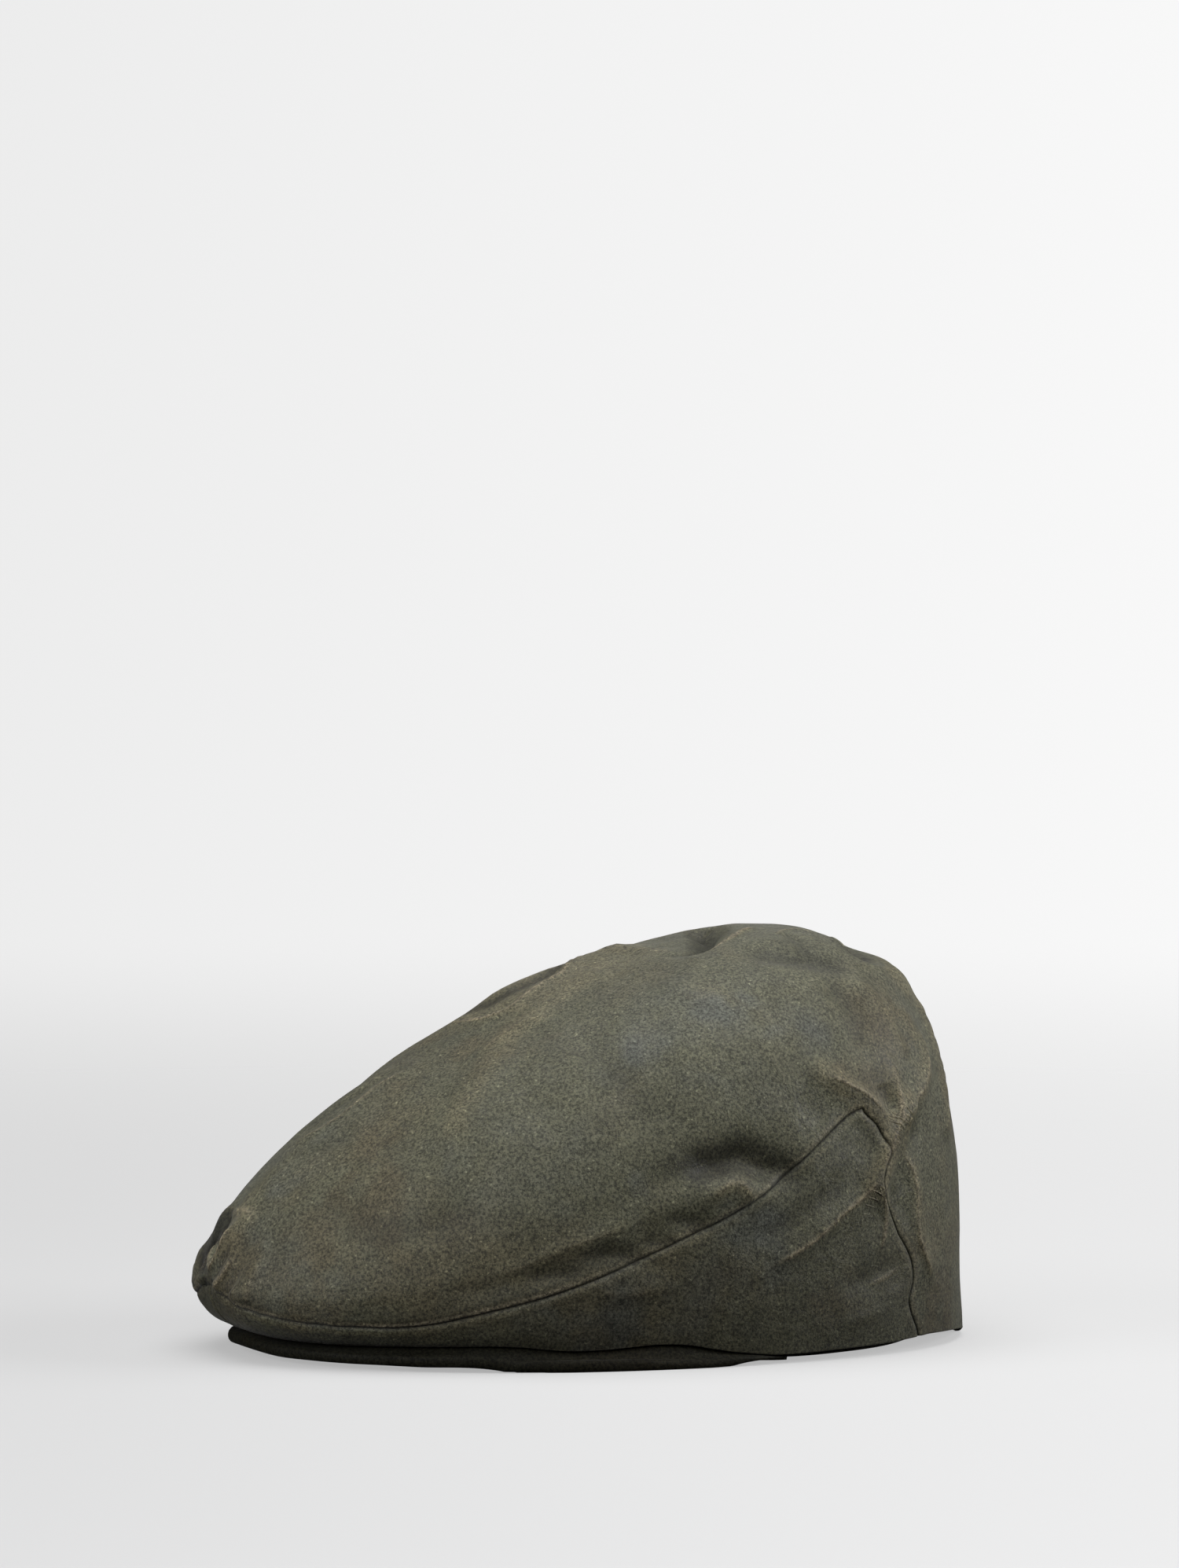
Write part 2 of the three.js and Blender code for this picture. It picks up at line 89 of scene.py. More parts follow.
# Cloth at the seams, in millimetres: edge turned in, a low pillow beside it, and puckers
TURN_IN = 0.5
TURN_IN_WIDTH = 0.6
PILLOW = 0.2
PILLOW_AT = 2.4
PILLOW_WIDTH = 1.6
PUCKER = 0.4
PUCKER_WIDTH = 5.0
EDGE_ROUND = 0.18

# Pale creases are looked for within this distance, and fade out between the other two
CREASE_SEARCH = 8
CREASE_NEAR = 3.0
CREASE_FAR = 5.0
NO_CREASE = 9.0
FAR_AWAY = 1e9


def rows(names, *values):
    """Table of named columns, each a numpy array."""
    data = np.array(values, float)
    return {name: data[:, i] for i, name in enumerate(names.split())}


SECTIONS = rows(
    "around widest power turn",
    (0, 0.174, 1.53, 84),
    (30, 0.16, 1.56, 82),
    (60, 0.22, 1.78, 72),
    (90, 0.33, 2.2, 48),
    (120, 0.32, 2.5, 34),
    (150, 0.2, 2.7, 30),
    (180, 0.12, 2.6, 30),
)
HEM_HEIGHTS = rows(
    "around lift foot",
    (0, 0.03, 0.1),
    (30, 0.03, 0.088),
    (60, 0.03, 0.056),
    (90, 0.03, 0.026),
    (103, 0.0225, 0.014),
    (115, 0.026, 0.015),
    (126, 0.03, 0.02),
    (138, 0.036, 0.034),
    (163, 0.018, 0.028),
    (172, -0.004, 0.02),
    (180, -0.006, 0.018),
)
PEAK_RISE = rows(
    "around rise",
    (0, 0),
    (10, 0.1),
    (17, 0.3),
    (30, 0.5),
    (46, 0.5),
    (59, 0.2),
    (70, 0),
    (88, 0),
    (96, 0.3),
    (103, 0.9),
)
PEAK_HEIGHTS = rows(
    "around rim inner",
    (0, 0.019, 0.086),
    (17, 0.01, 0.084),
    (46, 0.006, 0.07),
    (59, 0.003, 0.052),
    (70, -0.045, 0.042),
    (86, -0.045, 0.036),
    (94, 0.003, 0.016),
    (104, 0.006, 0.008),
)
SEAM_HEIGHTS = rows(
    "around height",
    (0, 0.172),
    (6, 0.158),
    (15, 0.13),
    (30, 0.108),
    (48, 0.108),
    (60, 0.145),
    (70, 0.19),
    (80, 0.26),
    (90, 0.345),
    (100, 0.435),
    (110, 0.545),
    (117.5, 0.6),
)
REAR_SEAM = rows(
    "down around",
    (0, 117.5),
    (0.08, 120.6),
    (0.14, 122.2),
    (0.2, 122.9),
    (0.26, 121.9),
    (0.31, 121.2),
    (0.36, 121.9),
    (0.45, 125.8),
    (0.57, 130.2),
    (0.68, 131),
    (0.8, 129.8),
    (1, 133),
)

# Folds of the part's source: direction and share down at two ends and the middle,
# then height and half width as shares of the crown's height, and the right side's share
FOLDS = (
    (4, 0.66, -6, 0.5, -14, 0.34, 0.012, 0.06, 0),
    (-12, 0.29, -19, 0.24, -29, 0.19, 0.03, 0.09, 0.4),
    (-75, 0.09, 5, 0.088, 66, 0.148, -0.028, 0.034, 0),
    (-60, 0.16, -30, 0.17, 0, 0.16, -0.006, 0.12, 0),
    (-100, 0.06, 74, 0.08, 72, 0.185, 0.003, 0.05, 0),
    (100, 0.2, 114, 0.23, 125, 0.26, -0.016, 0.05, 0.6),
    (176, 0.16, 164, 0.19, 152, 0.22, -0.03, 0.05, 0),
    (178, 0.32, 167, 0.32, 155, 0.33, 0.02, 0.07, 1),
    (160, 0.42, 153, 0.54, 149, 0.64, 0.012, 0.035, 1),
    (141, 0.44, 142, 0.54, 130, 0.63, 0.01, 0.045, 0.8),
    (130, 0.63, 125, 0.69, 120, 0.75, 0.018, 0.04, 0.8),
    (131.5, 0.72, 132.5, 0.78, 136.5, 0.84, 0.006, 0.04, 0.8),
    (110, 0.55, 116, 0.6, 121, 0.64, 0.014, 0.04, 0.8),
    (89, 0.69, 94, 0.68, 101.5, 0.725, -0.021, 0.042, 0.7),
    (90, 0.745, 93, 0.742, 96, 0.755, 0.006, 0.032, 0.7),
    (82, 0.785, 85, 0.79, 89, 0.795, -0.006, 0.03, 0.8),
    (68, 0.8, 76, 0.815, 81, 0.82, -0.006, 0.042, 0.8),
    (70, 0.775, 78, 0.762, 86, 0.753, 0.003, 0.035, 0.8),
    (102, 0.84, 112, 0.795, 120, 0.76, 0.004, 0.03, 1),
    (77, 0.845, 80, 0.86, 84, 0.875, 0.004, 0.035, 1),
    (116, 0.89, 121, 0.88, 125, 0.87, -0.01, 0.035, 1),
    (7, 0.66, 5, 0.72, 4, 0.77, 0.014, 0.035, 1),
    (-4, 0.66, -4, 0.695, -6, 0.735, -0.014, 0.035, 0),
    (16, 0.73, 14, 0.77, 13, 0.81, 0.01, 0.03, 1),
)

RAD = math.pi / 180


def smooth_row(table, at, position, column):
    """Smooth value between the rows of a table."""
    xs, ys = table[at], table[column]
    n = len(xs)
    pos = np.asarray(position, float)
    row = np.clip(np.searchsorted(xs, pos, side="left") - 1, 0, n - 2)
    x0, x1 = xs[row], xs[row + 1]
    y0, y1 = ys[row], ys[row + 1]
    span = x1 - x0
    share = np.clip((pos - x0) / span, 0, 1)
    before, after = np.maximum(row - 1, 0), np.minimum(row + 2, n - 1)
    low = np.where(row == 0, 0, (y1 - ys[before]) / (x1 - xs[before]))
    high = np.where(row == n - 2, 0, (ys[after] - y0) / (xs[after] - x0))
    s2 = share * share
    s3 = s2 * share
    return (
        y0 * (2 * s3 - 3 * s2 + 1)
        + low * span * (s3 - 2 * s2 + share)
        + y1 * (3 * s2 - 2 * s3)
        + high * span * (s3 - s2)
    )


def smoothstep(x, low, high):
    t = np.clip((x - low) / (high - low), 0, 1)
    return t * t * (3 - 2 * t)


def oval(around, front, side, rear):
    cos = np.cos(around * RAD)
    sin = np.sin(around * RAD)
    power = 2 / PLAN_POWER
    y = np.abs(cos) ** power
    return np.stack(
        [
            side * np.sign(sin) * np.abs(sin) ** power,
            CENTRE_Y + np.where(cos > 0, -front * y, rear * y),
        ],
        -1,
    )


def peak_inner(around):
    inset = BAND_INSET - CLEARANCE
    return oval(around, BAND_FRONT + CLEARANCE, HEM_SIDE - inset, HEM_REAR - inset)


def peak_rim(around):
    end = np.clip((np.abs(around) - PEAK_NARROWS_FROM) / (PEAK_END - PEAK_NARROWS_FROM), 0, 1)
    out = PEAK_OVERHANG * (1 - 0.8 * end)
    return oval(around, HEM_FRONT + out, HEM_SIDE + out, HEM_REAR + out)


def peak_depth(around):
    end = np.clip((np.abs(around) - PEAK_THINS_FROM) / (PEAK_END - PEAK_THINS_FROM), 0, 1)
    return PEAK_THICKNESS * (1 + (PEAK_END_SHARE - 1) * end)


def peak_under(around, share):
    turn = np.abs(around)
    rim = smooth_row(PEAK_HEIGHTS, "around", turn, "rim")
    inner = smooth_row(PEAK_HEIGHTS, "around", turn, "inner")
    return CROWN_HEIGHT * (inner + (rim - inner) * share**1.6)


def peak_top(around, share):
    return np.maximum(peak_under(around, share), 0) + peak_depth(around)


def length(v):
    return np.sqrt((v * v).sum(-1))


def peak_top_at(plan, near):
    limit = np.minimum(near, PEAK_END)
    low = np.maximum(limit - 30, -10)
    high = limit + 30
    for _ in range(30):
        middle = (low + high) / 2
        inner = peak_inner(middle)
        across = peak_rim(middle) - inner
        there = plan - inner
        more = across[:, 0] * there[:, 1] - across[:, 1] * there[:, 0] > 0
        low = np.where(more, middle, low)
        high = np.where(more, high, middle)
    around = np.minimum(low, PEAK_END)
    inner = peak_inner(around)
    share = length(plan - inner) / length(peak_rim(around) - inner)
    return peak_top(around, np.clip(share, 0, 1))


def hem_heights():
    turn = np.arange(0, 181, 1.0)
    plan = oval(turn, HEM_FRONT, HEM_SIDE, HEM_REAR)
    inside = oval(turn, HEM_FRONT - CLOTH, HEM_SIDE - CLOTH, HEM_REAR - CLOTH)
    on_peak = CLEARANCE + np.maximum(peak_top_at(plan, turn), peak_top_at(inside, turn))
    free = CROWN_HEIGHT * smooth_row(HEM_HEIGHTS, "around", turn, "lift")
    leave = smoothstep(turn, PEAK_END + 3, PEAK_END + 12)
    both = np.maximum(on_peak, free)
    return both + (free - both) * leave


HEM_TABLE = hem_heights()


def plain_crown(around, down):
    """Smooth crown before any fold: direction in degrees and share of the way down."""
    around, down = np.broadcast_arrays(np.asarray(around, float), np.asarray(down, float))
    turn = np.minimum(np.abs(around), 180)
    widest = CROWN_HEIGHT * smooth_row(SECTIONS, "around", turn, "widest")
    edge = oval(around, CROWN_FRONT, CROWN_SIDE, CROWN_REAR)
    power = 2 / smooth_row(SECTIONS, "around", turn, "power")
    angle = np.clip(down / WIDE_SHARE, 0, 1) * math.pi / 2
    out = np.sin(angle) ** power
    up = np.maximum(np.cos(angle), 0) ** power
    dome = np.stack(
        [
            edge[..., 0] * out,
            POLE_Y + (edge[..., 1] - POLE_Y) * out,
            widest + (CROWN_HEIGHT - widest) * up,
        ],
        -1,
    )
    hem = oval(around, HEM_FRONT, HEM_SIDE, HEM_REAR)
    hem_z = np.interp(turn, np.arange(181), HEM_TABLE)
    full = RAD * smooth_row(SECTIONS, "around", turn, "turn")
    angle = full * np.clip((down - WIDE_SHARE) / (1 - WIDE_SHARE), 0, None)
    out = (np.cos(angle) - np.cos(full)) / (1 - np.cos(full))
    drop = np.sin(angle) / np.sin(full)
    tuck = np.stack(
        [
            hem[..., 0] + (edge[..., 0] - hem[..., 0]) * out,
            hem[..., 1] + (edge[..., 1] - hem[..., 1]) * out,
            widest + (hem_z - widest) * drop,
        ],
        -1,
    )
    return np.where((down <= WIDE_SHARE)[..., None], dome, tuck)


def outward(surface, around, down):
    step = 0.0015
    high = np.clip(down, 0.02, 1 - step)
    across = surface(around + 0.3, high) - surface(around - 0.3, high)
    along = surface(around, high + step) - surface(around, high - step)
    normal = np.cross(along, across)
    return normal / length(normal)[..., None]


def fold_lines(table):
    lines = []
    for a1, d1, a2, d2, a3, d3, rise, half, far in table:
        for side, share in ((1, 1), (-1, far)):
            if share:
                ends = plain_crown(side * np.array([a1, a2, a3]), np.array([d1, d2, d3]))
                lines.append((ends, rise * share * CROWN_HEIGHT, half * CROWN_HEIGHT))
    return lines


def line_distance(points, line):
    """Distance from each point to a line, with the nearest foot and run of the line."""
    best = np.full(len(points), FAR_AWAY)
    side = np.zeros_like(points)
    run = np.zeros_like(points)
    along = np.zeros(len(points))
    total = length(np.diff(line, axis=0))
    start = 0.0
    for i in range(len(line) - 1):
        a = line[i]
        d = line[i + 1] - a
        share = np.clip(((points - a) @ d) / (d @ d), 0, 1)
        off = points - (a + share[:, None] * d)
        dist = length(off)
        near = dist < best
        best = np.where(near, dist, best)
        side[near] = off[near]
        run[near] = d / length(d)
        along = np.where(near, (start + share * total[i]) / total.sum(), along)
        start += total[i]
    return best, side, run, along


FOLD_LINES = fold_lines(FOLDS)

# Finer folds along their crest or bottom: points as direction and share down, then height,
# half width, lean to the right of the way they run, right side's share, and how pale the cloth
# is rubbed along the line, or below zero how dark the painted shade along it is
FINE = (
    # Hooked dent with its bump, and the dents along the long seam
    (((88, 0.7), (90.5, 0.7), (93, 0.688), (96.5, 0.71), (101.5, 0.733)), -1.6, 3.2, 0.4, 0.7, -0.2),
    (
        ((84, 0.675), (88, 0.672), (91, 0.664), (93, 0.664), (95.5, 0.675), (99, 0.693), (102, 0.708)),
        0.0, 3.8, 0, 0.7, -0.38,
    ),
    (((80, 0.7), (88, 0.69)), -0.7, 4.5, 0, 0.7, -0.12),
    (((90, 0.745), (92.6, 0.73), (94.6, 0.742), (95.6, 0.765)), 0.9, 2.2, 0, 0.7, 0.25),
    (((88, 0.715), (92, 0.705), (95, 0.73)), 0.0, 4.0, 0, 0.7, -0.36),
    (((84, 0.765), (86.5, 0.775), (89.5, 0.792)), -0.9, 1.9, 0.2, 0.8, -0.35),
    (((81.5, 0.795), (85, 0.809)), -0.9, 1.9, 0.2, 0.8, -0.35),
    (((73.5, 0.797), (77, 0.8), (81, 0.823)), -0.8, 2.3, 0.2, 0.8, -0.3),
    (((66, 0.81), (69.5, 0.813), (73, 0.826)), -0.6, 2.4, 0, 0.8, -0.2),
    (((54, 0.81), (60, 0.815), (65, 0.81)), -0.5, 3.0, 0, 1, 0),
    (((61, 0.79), (70, 0.775), (80, 0.762)), 0.5, 2.6, 0, 1, 0.15),
    # Long pull from the rear top over the seam and down the side panel
    (
        ((128.7, 0.53), (128.5, 0.56), (128, 0.6), (127.2, 0.635),
         (125, 0.672), (122.3, 0.71), (120.3, 0.742)),
        1.3, 1.8, 0, 0.8, 0.9,
    ),
    (
        ((121.5, 0.73), (120, 0.745), (117, 0.77), (110.5, 0.8), (105, 0.833), (98, 0.862)),
        0.6, 1.6, 0, 1, 0.95,
    ),
    (((115, 0.745), (109, 0.77), (102, 0.8), (95, 0.825)), -0.9, 3.8, 0, 1, -0.12),
    (((134.5, 0.575), (133.5, 0.62), (132, 0.665), (133, 0.69)), -1.3, 2.6, 0, 0.8, -0.35),
    (
        ((147, 0.45), (145.2, 0.495), (142.5, 0.54), (137.5, 0.585), (131.5, 0.625), (127.5, 0.665)),
        1.0, 2.6, 0, 0.8, 0.55,
    ),
    (
        ((163, 0.29), (160.5, 0.41), (158.5, 0.475), (156.5, 0.525), (151.5, 0.58)),
        0.7, 2.0, 0, 0.8, 0.6,
    ),
    # Side panel creases
    (((121, 0.745), (122.6, 0.785), (122.7, 0.8), (121.5, 0.84)), 0.9, 1.6, 0, 1, 0.95),
    (((119, 0.893), (124, 0.88), (127, 0.863)), 0.6, 2.0, 0, 1, 0.6),
    (((113, 0.957), (123, 0.935)), 0.4, 2.2, 0, 1, 0),
    (((75, 0.857), (78.5, 0.88), (84, 0.883)), 0.5, 2.4, 0, 1, 0.15),
    (((124, 0.75), (125.5, 0.79)), -0.8, 2.4, 0, 1, 0),
    # Folds that meet at the top corner of the side panel
    (
        ((109.5, 0.56), (112.5, 0.57), (116.5, 0.593), (120, 0.614), (123, 0.642)),
        1.2, 2.1, 0, 0.8, 0.75,
    ),
    (((124, 0.58), (126, 0.635)), -1.5, 3.2, 0, 0.8, 0),
    (((104, 0.53), (112, 0.548), (118, 0.562)), 0.0, 4.5, 0, 0.8, -0.2),
    (((103, 0.59), (110, 0.65)), -0.8, 4.0, 0, 0.8, -0.1),
    (
        ((126.8, 0.69), (130.2, 0.725), (131.5, 0.755), (131.5, 0.785), (133.5, 0.815), (138, 0.875)),
        0.8, 2.2, 0, 0.8, 0.5,
    ),
    (((126.5, 0.73), (128, 0.76), (127.8, 0.8)), -0.5, 2.4, 0, 0.8, 0),
    # Folds over the top
    (
        ((-16, 0.35), (2, 0.327), (11, 0.307), (8, 0.282),
         (3, 0.258), (0, 0.241), (-14, 0.227), (-32, 0.213)),
        0.9, 1.7, 0, 0, 0.9,
    ),
    (((-20, 0.33), (-5, 0.306), (-4, 0.275), (-11, 0.243), (-34, 0.225)), -0.9, 3.4, 0, 0, -0.8),
    (((26.5, 0.38), (26.5, 0.345), (29, 0.325), (38, 0.31)), 0.7, 3.0, 0, 0, 0.2),
    (((-70, 0.088), (-20, 0.083), (20, 0.09), (50, 0.115), (63, 0.145)), -1.6, 2.2, 0, 0, -0.7),
    (((50, 0.178), (60, 0.168), (66, 0.155)), -0.6, 2.6, 0, 0, -0.3),
    (((84, 0.03), (81.5, 0.1), (78.5, 0.14), (71.5, 0.175)), 0.8, 2.0, 0.3, 0, 0.8),
    (((-40, 0.195), (1, 0.167), (50, 0.16)), 0.8, 3.0, -0.4, 0, 0.2),
    (((108, 0.09), (125, 0.06), (145, 0.065), (142, 0.1)), 0.6, 1.8, 0, 0, 0.5),
    (((119, 0.07), (117.5, 0.14), (116, 0.25)), -1.1, 2.6, 0, 0.6, -0.2),
    (((165, 0.14), (158, 0.165), (157, 0.195), (160, 0.235)), -2.2, 1.9, 0, 0, -0.7),
    (((147, 0.125), (149, 0.17), (154, 0.215)), 0.9, 1.9, 0, 0, 0.6),
    (((6, 0.41), (3.8, 0.44), (4.2, 0.485), (1, 0.515), (-4, 0.535)), 0.8, 2.0, -0.4, 0, 0.6),
    (((-15, 0.54), (-8, 0.505), (-4, 0.475), (0, 0.43)), -1.0, 2.6, 0, 0, -0.2),
    (((8.5, 0.55), (12, 0.52), (16, 0.5)), -0.7, 3.4, 0, 0, -0.1),
    # Gathers at the front edge
    (((4.8, 0.67), (4, 0.69), (2.5, 0.72), (-0.5, 0.762)), 2.0, 1.8, 0, 0.8, 1.0),
    (((9, 0.715), (7.8, 0.745), (6, 0.78), (4.6, 0.81)), 1.5, 1.6, 0, 0.8, 1.0),
    (((16.5, 0.75), (16, 0.79), (15.5, 0.82)), 0.7, 1.9, 0, 0.8, 0.3),
    (((12.5, 0.78), (11, 0.805), (9.5, 0.825)), 0.6, 1.4, 0, 0.8, 0.35),
    (((-6, 0.657), (-1, 0.648), (4, 0.643), (9, 0.648)), 0.6, 1.6, 0, 0.5, 0.6),
    (((-4, 0.672), (-5.5, 0.7), (-9, 0.737)), -2.0, 4.0, 0, 0, -1.0),
    (((-6, 0.66), (-12, 0.69), (-12, 0.72), (-6, 0.745)), 0.0, 5.5, 0, 0, -0.8),
    (((6.6, 0.7), (5.2, 0.737), (3.2, 0.778)), -1.2, 1.4, 0, 0.8, -0.5),
    (((1.8, 0.785), (3.4, 0.812)), -1.2, 1.3, 0, 0.8, -0.8),
    (((11.5, 0.74), (10, 0.78), (9, 0.82)), -0.7, 1.9, 0, 0.8, 0),
    # Flatter front slope and nose
    (((2, 0.62), (-6, 0.5), (-14, 0.37)), -1.3, 9.0, 0, 0, 0),
    (((-16, 0.79), (-4, 0.8), (8, 0.8)), -1.6, 13.0, 0, 0, 0),
    # Long soft pulls
    (((60, 0.35), (75, 0.5), (84, 0.62)), -1.0, 6.5, 0, 1, 0),
    (((20, 0.25), (38, 0.42), (48, 0.58)), 1.0, 8.0, 0, 1, 0),
    (((22, 0.6), (40, 0.66), (58, 0.68)), -1.0, 6.5, 0, 1, 0),
    (((118, 0.3), (122, 0.42), (120, 0.52)), -1.2, 5.0, 0, 1, 0),
    (((128, 0.3), (132, 0.42), (134, 0.54)), 1.0, 4.0, 0, 1, 0.1),
)

# Patches where the wax has gone brown, or below zero blue-grey:
# direction, share down, radius in millimetres and amount
PATCHES = (
    (28, 0.555, 13, 0.9),
    (36, 0.61, 13, 0.9),
    (28.5, 0.62, 10, 0.8),
    (45, 0.675, 12, 0.6),
    (32.5, 0.75, 16, 0.9),
    (49.5, 0.705, 13, 0.7),
    (28, 0.505, 10, 0.7),
    (37, 0.38, 16, 0.4),
    (17, 0.36, 12, 0.7),
    (8, 0.72, 16, 0.8),
    (139, 0.75, 12, 0.5),
    (136.5, 0.83, 12, 0.5),
    (122.5, 0.67, 10, 0.5),
    (140, 0.92, 14, 0.8),
    (111.5, 0.935, 11, 0.7),
    (152, 0.6, 14, 0.8),
    (95, 0.73, 9, 0.9),
    (116.5, 0.565, 10, 1),
    (132, 0.41, 16, 0.8),
    (140, 0.97, 9, 0.5),
    (9, 0.6, 11, -0.5),
    (45.5, 0.57, 13, -0.35),
    (81, 0.335, 13, -0.7),
    (93.5, 0.395, 13, -0.65),
    (107.5, 0.465, 11, -0.6),
    (75.5, 0.435, 12, -0.6),
    (90.5, 0.56, 12, -0.7),
    (65.5, 0.555, 15, -0.3),
    (108.5, 0.645, 9, -0.6),
    (79.5, 0.685, 12, -0.6),
    (96.5, 0.81, 15, -0.8),
    (74, 0.92, 22, -0.6),
)


def smooth_curve(controls, side):
    """Points on the plain crown along a smooth line through rows of direction and share."""
    c = np.array(controls, float)
    padded = np.concatenate([2 * c[:1] - c[1:2], c, 2 * c[-1:] - c[-2:-1]])
    found = []
    for i in range(len(c) - 1):
        p0, p1, p2, p3 = padded[i : i + 4]
        for t in np.linspace(0, 1, 6)[: 5 if i < len(c) - 2 else 6]:
            found.append(
                0.5 * (2 * p1 + (p2 - p0) * t + (2 * p0 - 5 * p1 + 4 * p2 - p3) * t * t
                       + (3 * p1 - p0 - 3 * p2 + p3) * t**3)
            )
    found = np.array(found)
    return plain_crown(side * found[:, 0], found[:, 1])


FINE_LINES = []
CREASES = []
SHADE_LINES = []
for controls, rise, half, lean, far, pale in FINE:
    for side, share in ((1, 1), (-1, far)):
        if share:
            line = smooth_curve(controls, side)
            FINE_LINES.append((line, rise * share, half, lean * side))
            if pale > 0:
                CREASES.append((line, pale * share))
            # Below zero: painted shade along the line
            if pale < 0:
                SHADE_LINES.append((line, -pale * share, half))


def noise3(points, size, seed):
    """Smooth noise from -1 to 1 with features of a size in millimetres."""
    rng = np.random.default_rng(seed)
    n = NOISE_CELLS
    grid = rng.uniform(-1, 1, (n, n, n))
    p = points / size
    base = np.floor(p).astype(int)
    f = p - base
    f = f * f * (3 - 2 * f)
    total = np.zeros(len(points))
    for dx in (0, 1):
        for dy in (0, 1):
            for dz in (0, 1):
                w = (
                    (f[:, 0] if dx else 1 - f[:, 0])
                    * (f[:, 1] if dy else 1 - f[:, 1])
                    * (f[:, 2] if dz else 1 - f[:, 2])
                )
                x, y, z = ((base + (dx, dy, dz)) % n).T
                total += w * grid[x, y, z]
    return total


def near_line(points, line, reach):
    """Which points lie in the box around a line, widened by a reach."""
    return ((points > line.min(0) - reach) & (points < line.max(0) + reach)).all(1)


def fold_rise(point, lines):
    rise = np.zeros(len(point))
    for line, height, half in lines:
        near = near_line(point, line, FOLD_REACH * half)
        if near.any():
            dist = line_distance(point[near], line)[0] / half
            rise[near] += height * np.exp(-dist * dist)
    return rise


def fine_rise(point, normal):
    """Height of the fine folds, which taper at their ends and may lean to one side."""
    rise = np.zeros(len(point))
    for line, height, half, lean in FINE_LINES:
        near = near_line(point, line, FOLD_REACH * half)
        if near.any():
            dist, off, run, along = line_distance(point[near], line)
            side = (np.cross(run, normal[near]) * off).sum(-1) / half
            reach = dist / half
            taper = 0.25 + 0.75 * smoothstep(along, 0, TAPER) * smoothstep(1 - along, 0, TAPER)
            tilt = 1 + lean * np.clip(side, -1.5, 1.5)
            rise[near] += height * taper * np.exp(-reach * reach) * tilt
    return rise


def crown(around, down):
    """Crown with its folds, fine folds and soft unevenness."""
    shape = np.broadcast(around, down).shape
    around = np.broadcast_to(np.asarray(around, float), shape).ravel()
    down = np.broadcast_to(np.asarray(down, float), shape).ravel()
    point = plain_crown(around, down)
    normal = outward(plain_crown, around, down)
    rise = fold_rise(point, FOLD_LINES) + fine_rise(point, normal)
    calm = 1 - 0.7 * smoothstep(down, 0.93, 1.0)
    soft = sum(height * noise3(point, size, seed) for height, size, seed in UNEVEN)
    ridged = 0.35 * (0.35 - np.abs(noise3(point, 34.0, RIDGE_SEED)))
    rise = rise + calm * (soft + ridged)
    return (point + normal * rise[:, None]).reshape(shape + (3,))


def down_at_height(around, height):
    low = np.full(np.shape(around), 0.05)
    high = np.ones(np.shape(around))
    for _ in range(40):
        middle = (low + high) / 2
        above = plain_crown(around, middle)[..., 2] > height
        low = np.where(above, middle, low)
        high = np.where(above, high, middle)
    return low


def seam_down(around):
    height = CROWN_HEIGHT * smooth_row(SEAM_HEIGHTS, "around", np.abs(around), "height")
    return down_at_height(around, height)


APEX = float(REAR_SEAM["around"][0])
APEX_DOWN = float(seam_down(np.array([APEX]))[0])


def rear_around(down):
    share = (down - APEX_DOWN) / (1 - APEX_DOWN)
    return smooth_row(REAR_SEAM, "down", np.clip(share, 0, 1), "around")


def down_gap(around, down):
    change = length(plain_crown(around, down + 0.002) - plain_crown(around, down - 0.002)) / 0.004
    return SEAM_GAP / change


def around_gap(around, down):
    change = length(plain_crown(around + 0.2, down) - plain_crown(around - 0.2, down)) / 0.4
    return SEAM_GAP / change


low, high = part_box("sweatband")
SHIFT = np.array(
    [
        low[0] * 1000 + (HEM_SIDE - BAND_INSET),
        high[1] * 1000 - (CENTRE_Y + HEM_REAR - BAND_INSET),
        0.0,
    ]
)


def make_mesh(name, points, quads, attributes, uv):
    mesh = bpy.data.meshes.new(name)
    mesh.from_pydata(((points + SHIFT) / 1000).tolist(), [], quads)
    for key, values in attributes.items():
        layer = mesh.attributes.new(key, "FLOAT", "POINT")
        layer.data.foreach_set("value", np.asarray(values, np.float32))
    layer = mesh.uv_layers.new(name="UVMap")
    loops = np.empty(len(mesh.loops), int)
    mesh.loops.foreach_get("vertex_index", loops)
    layer.data.foreach_set("uv", uv[loops].astype(np.float32).ravel())
    mesh.polygons.foreach_set("use_smooth", [True] * len(mesh.polygons))
    mesh.validate()
    mesh.update()
    obj = bpy.data.objects.new(name, mesh)
    bpy.context.scene.collection.objects.link(obj)
    return obj


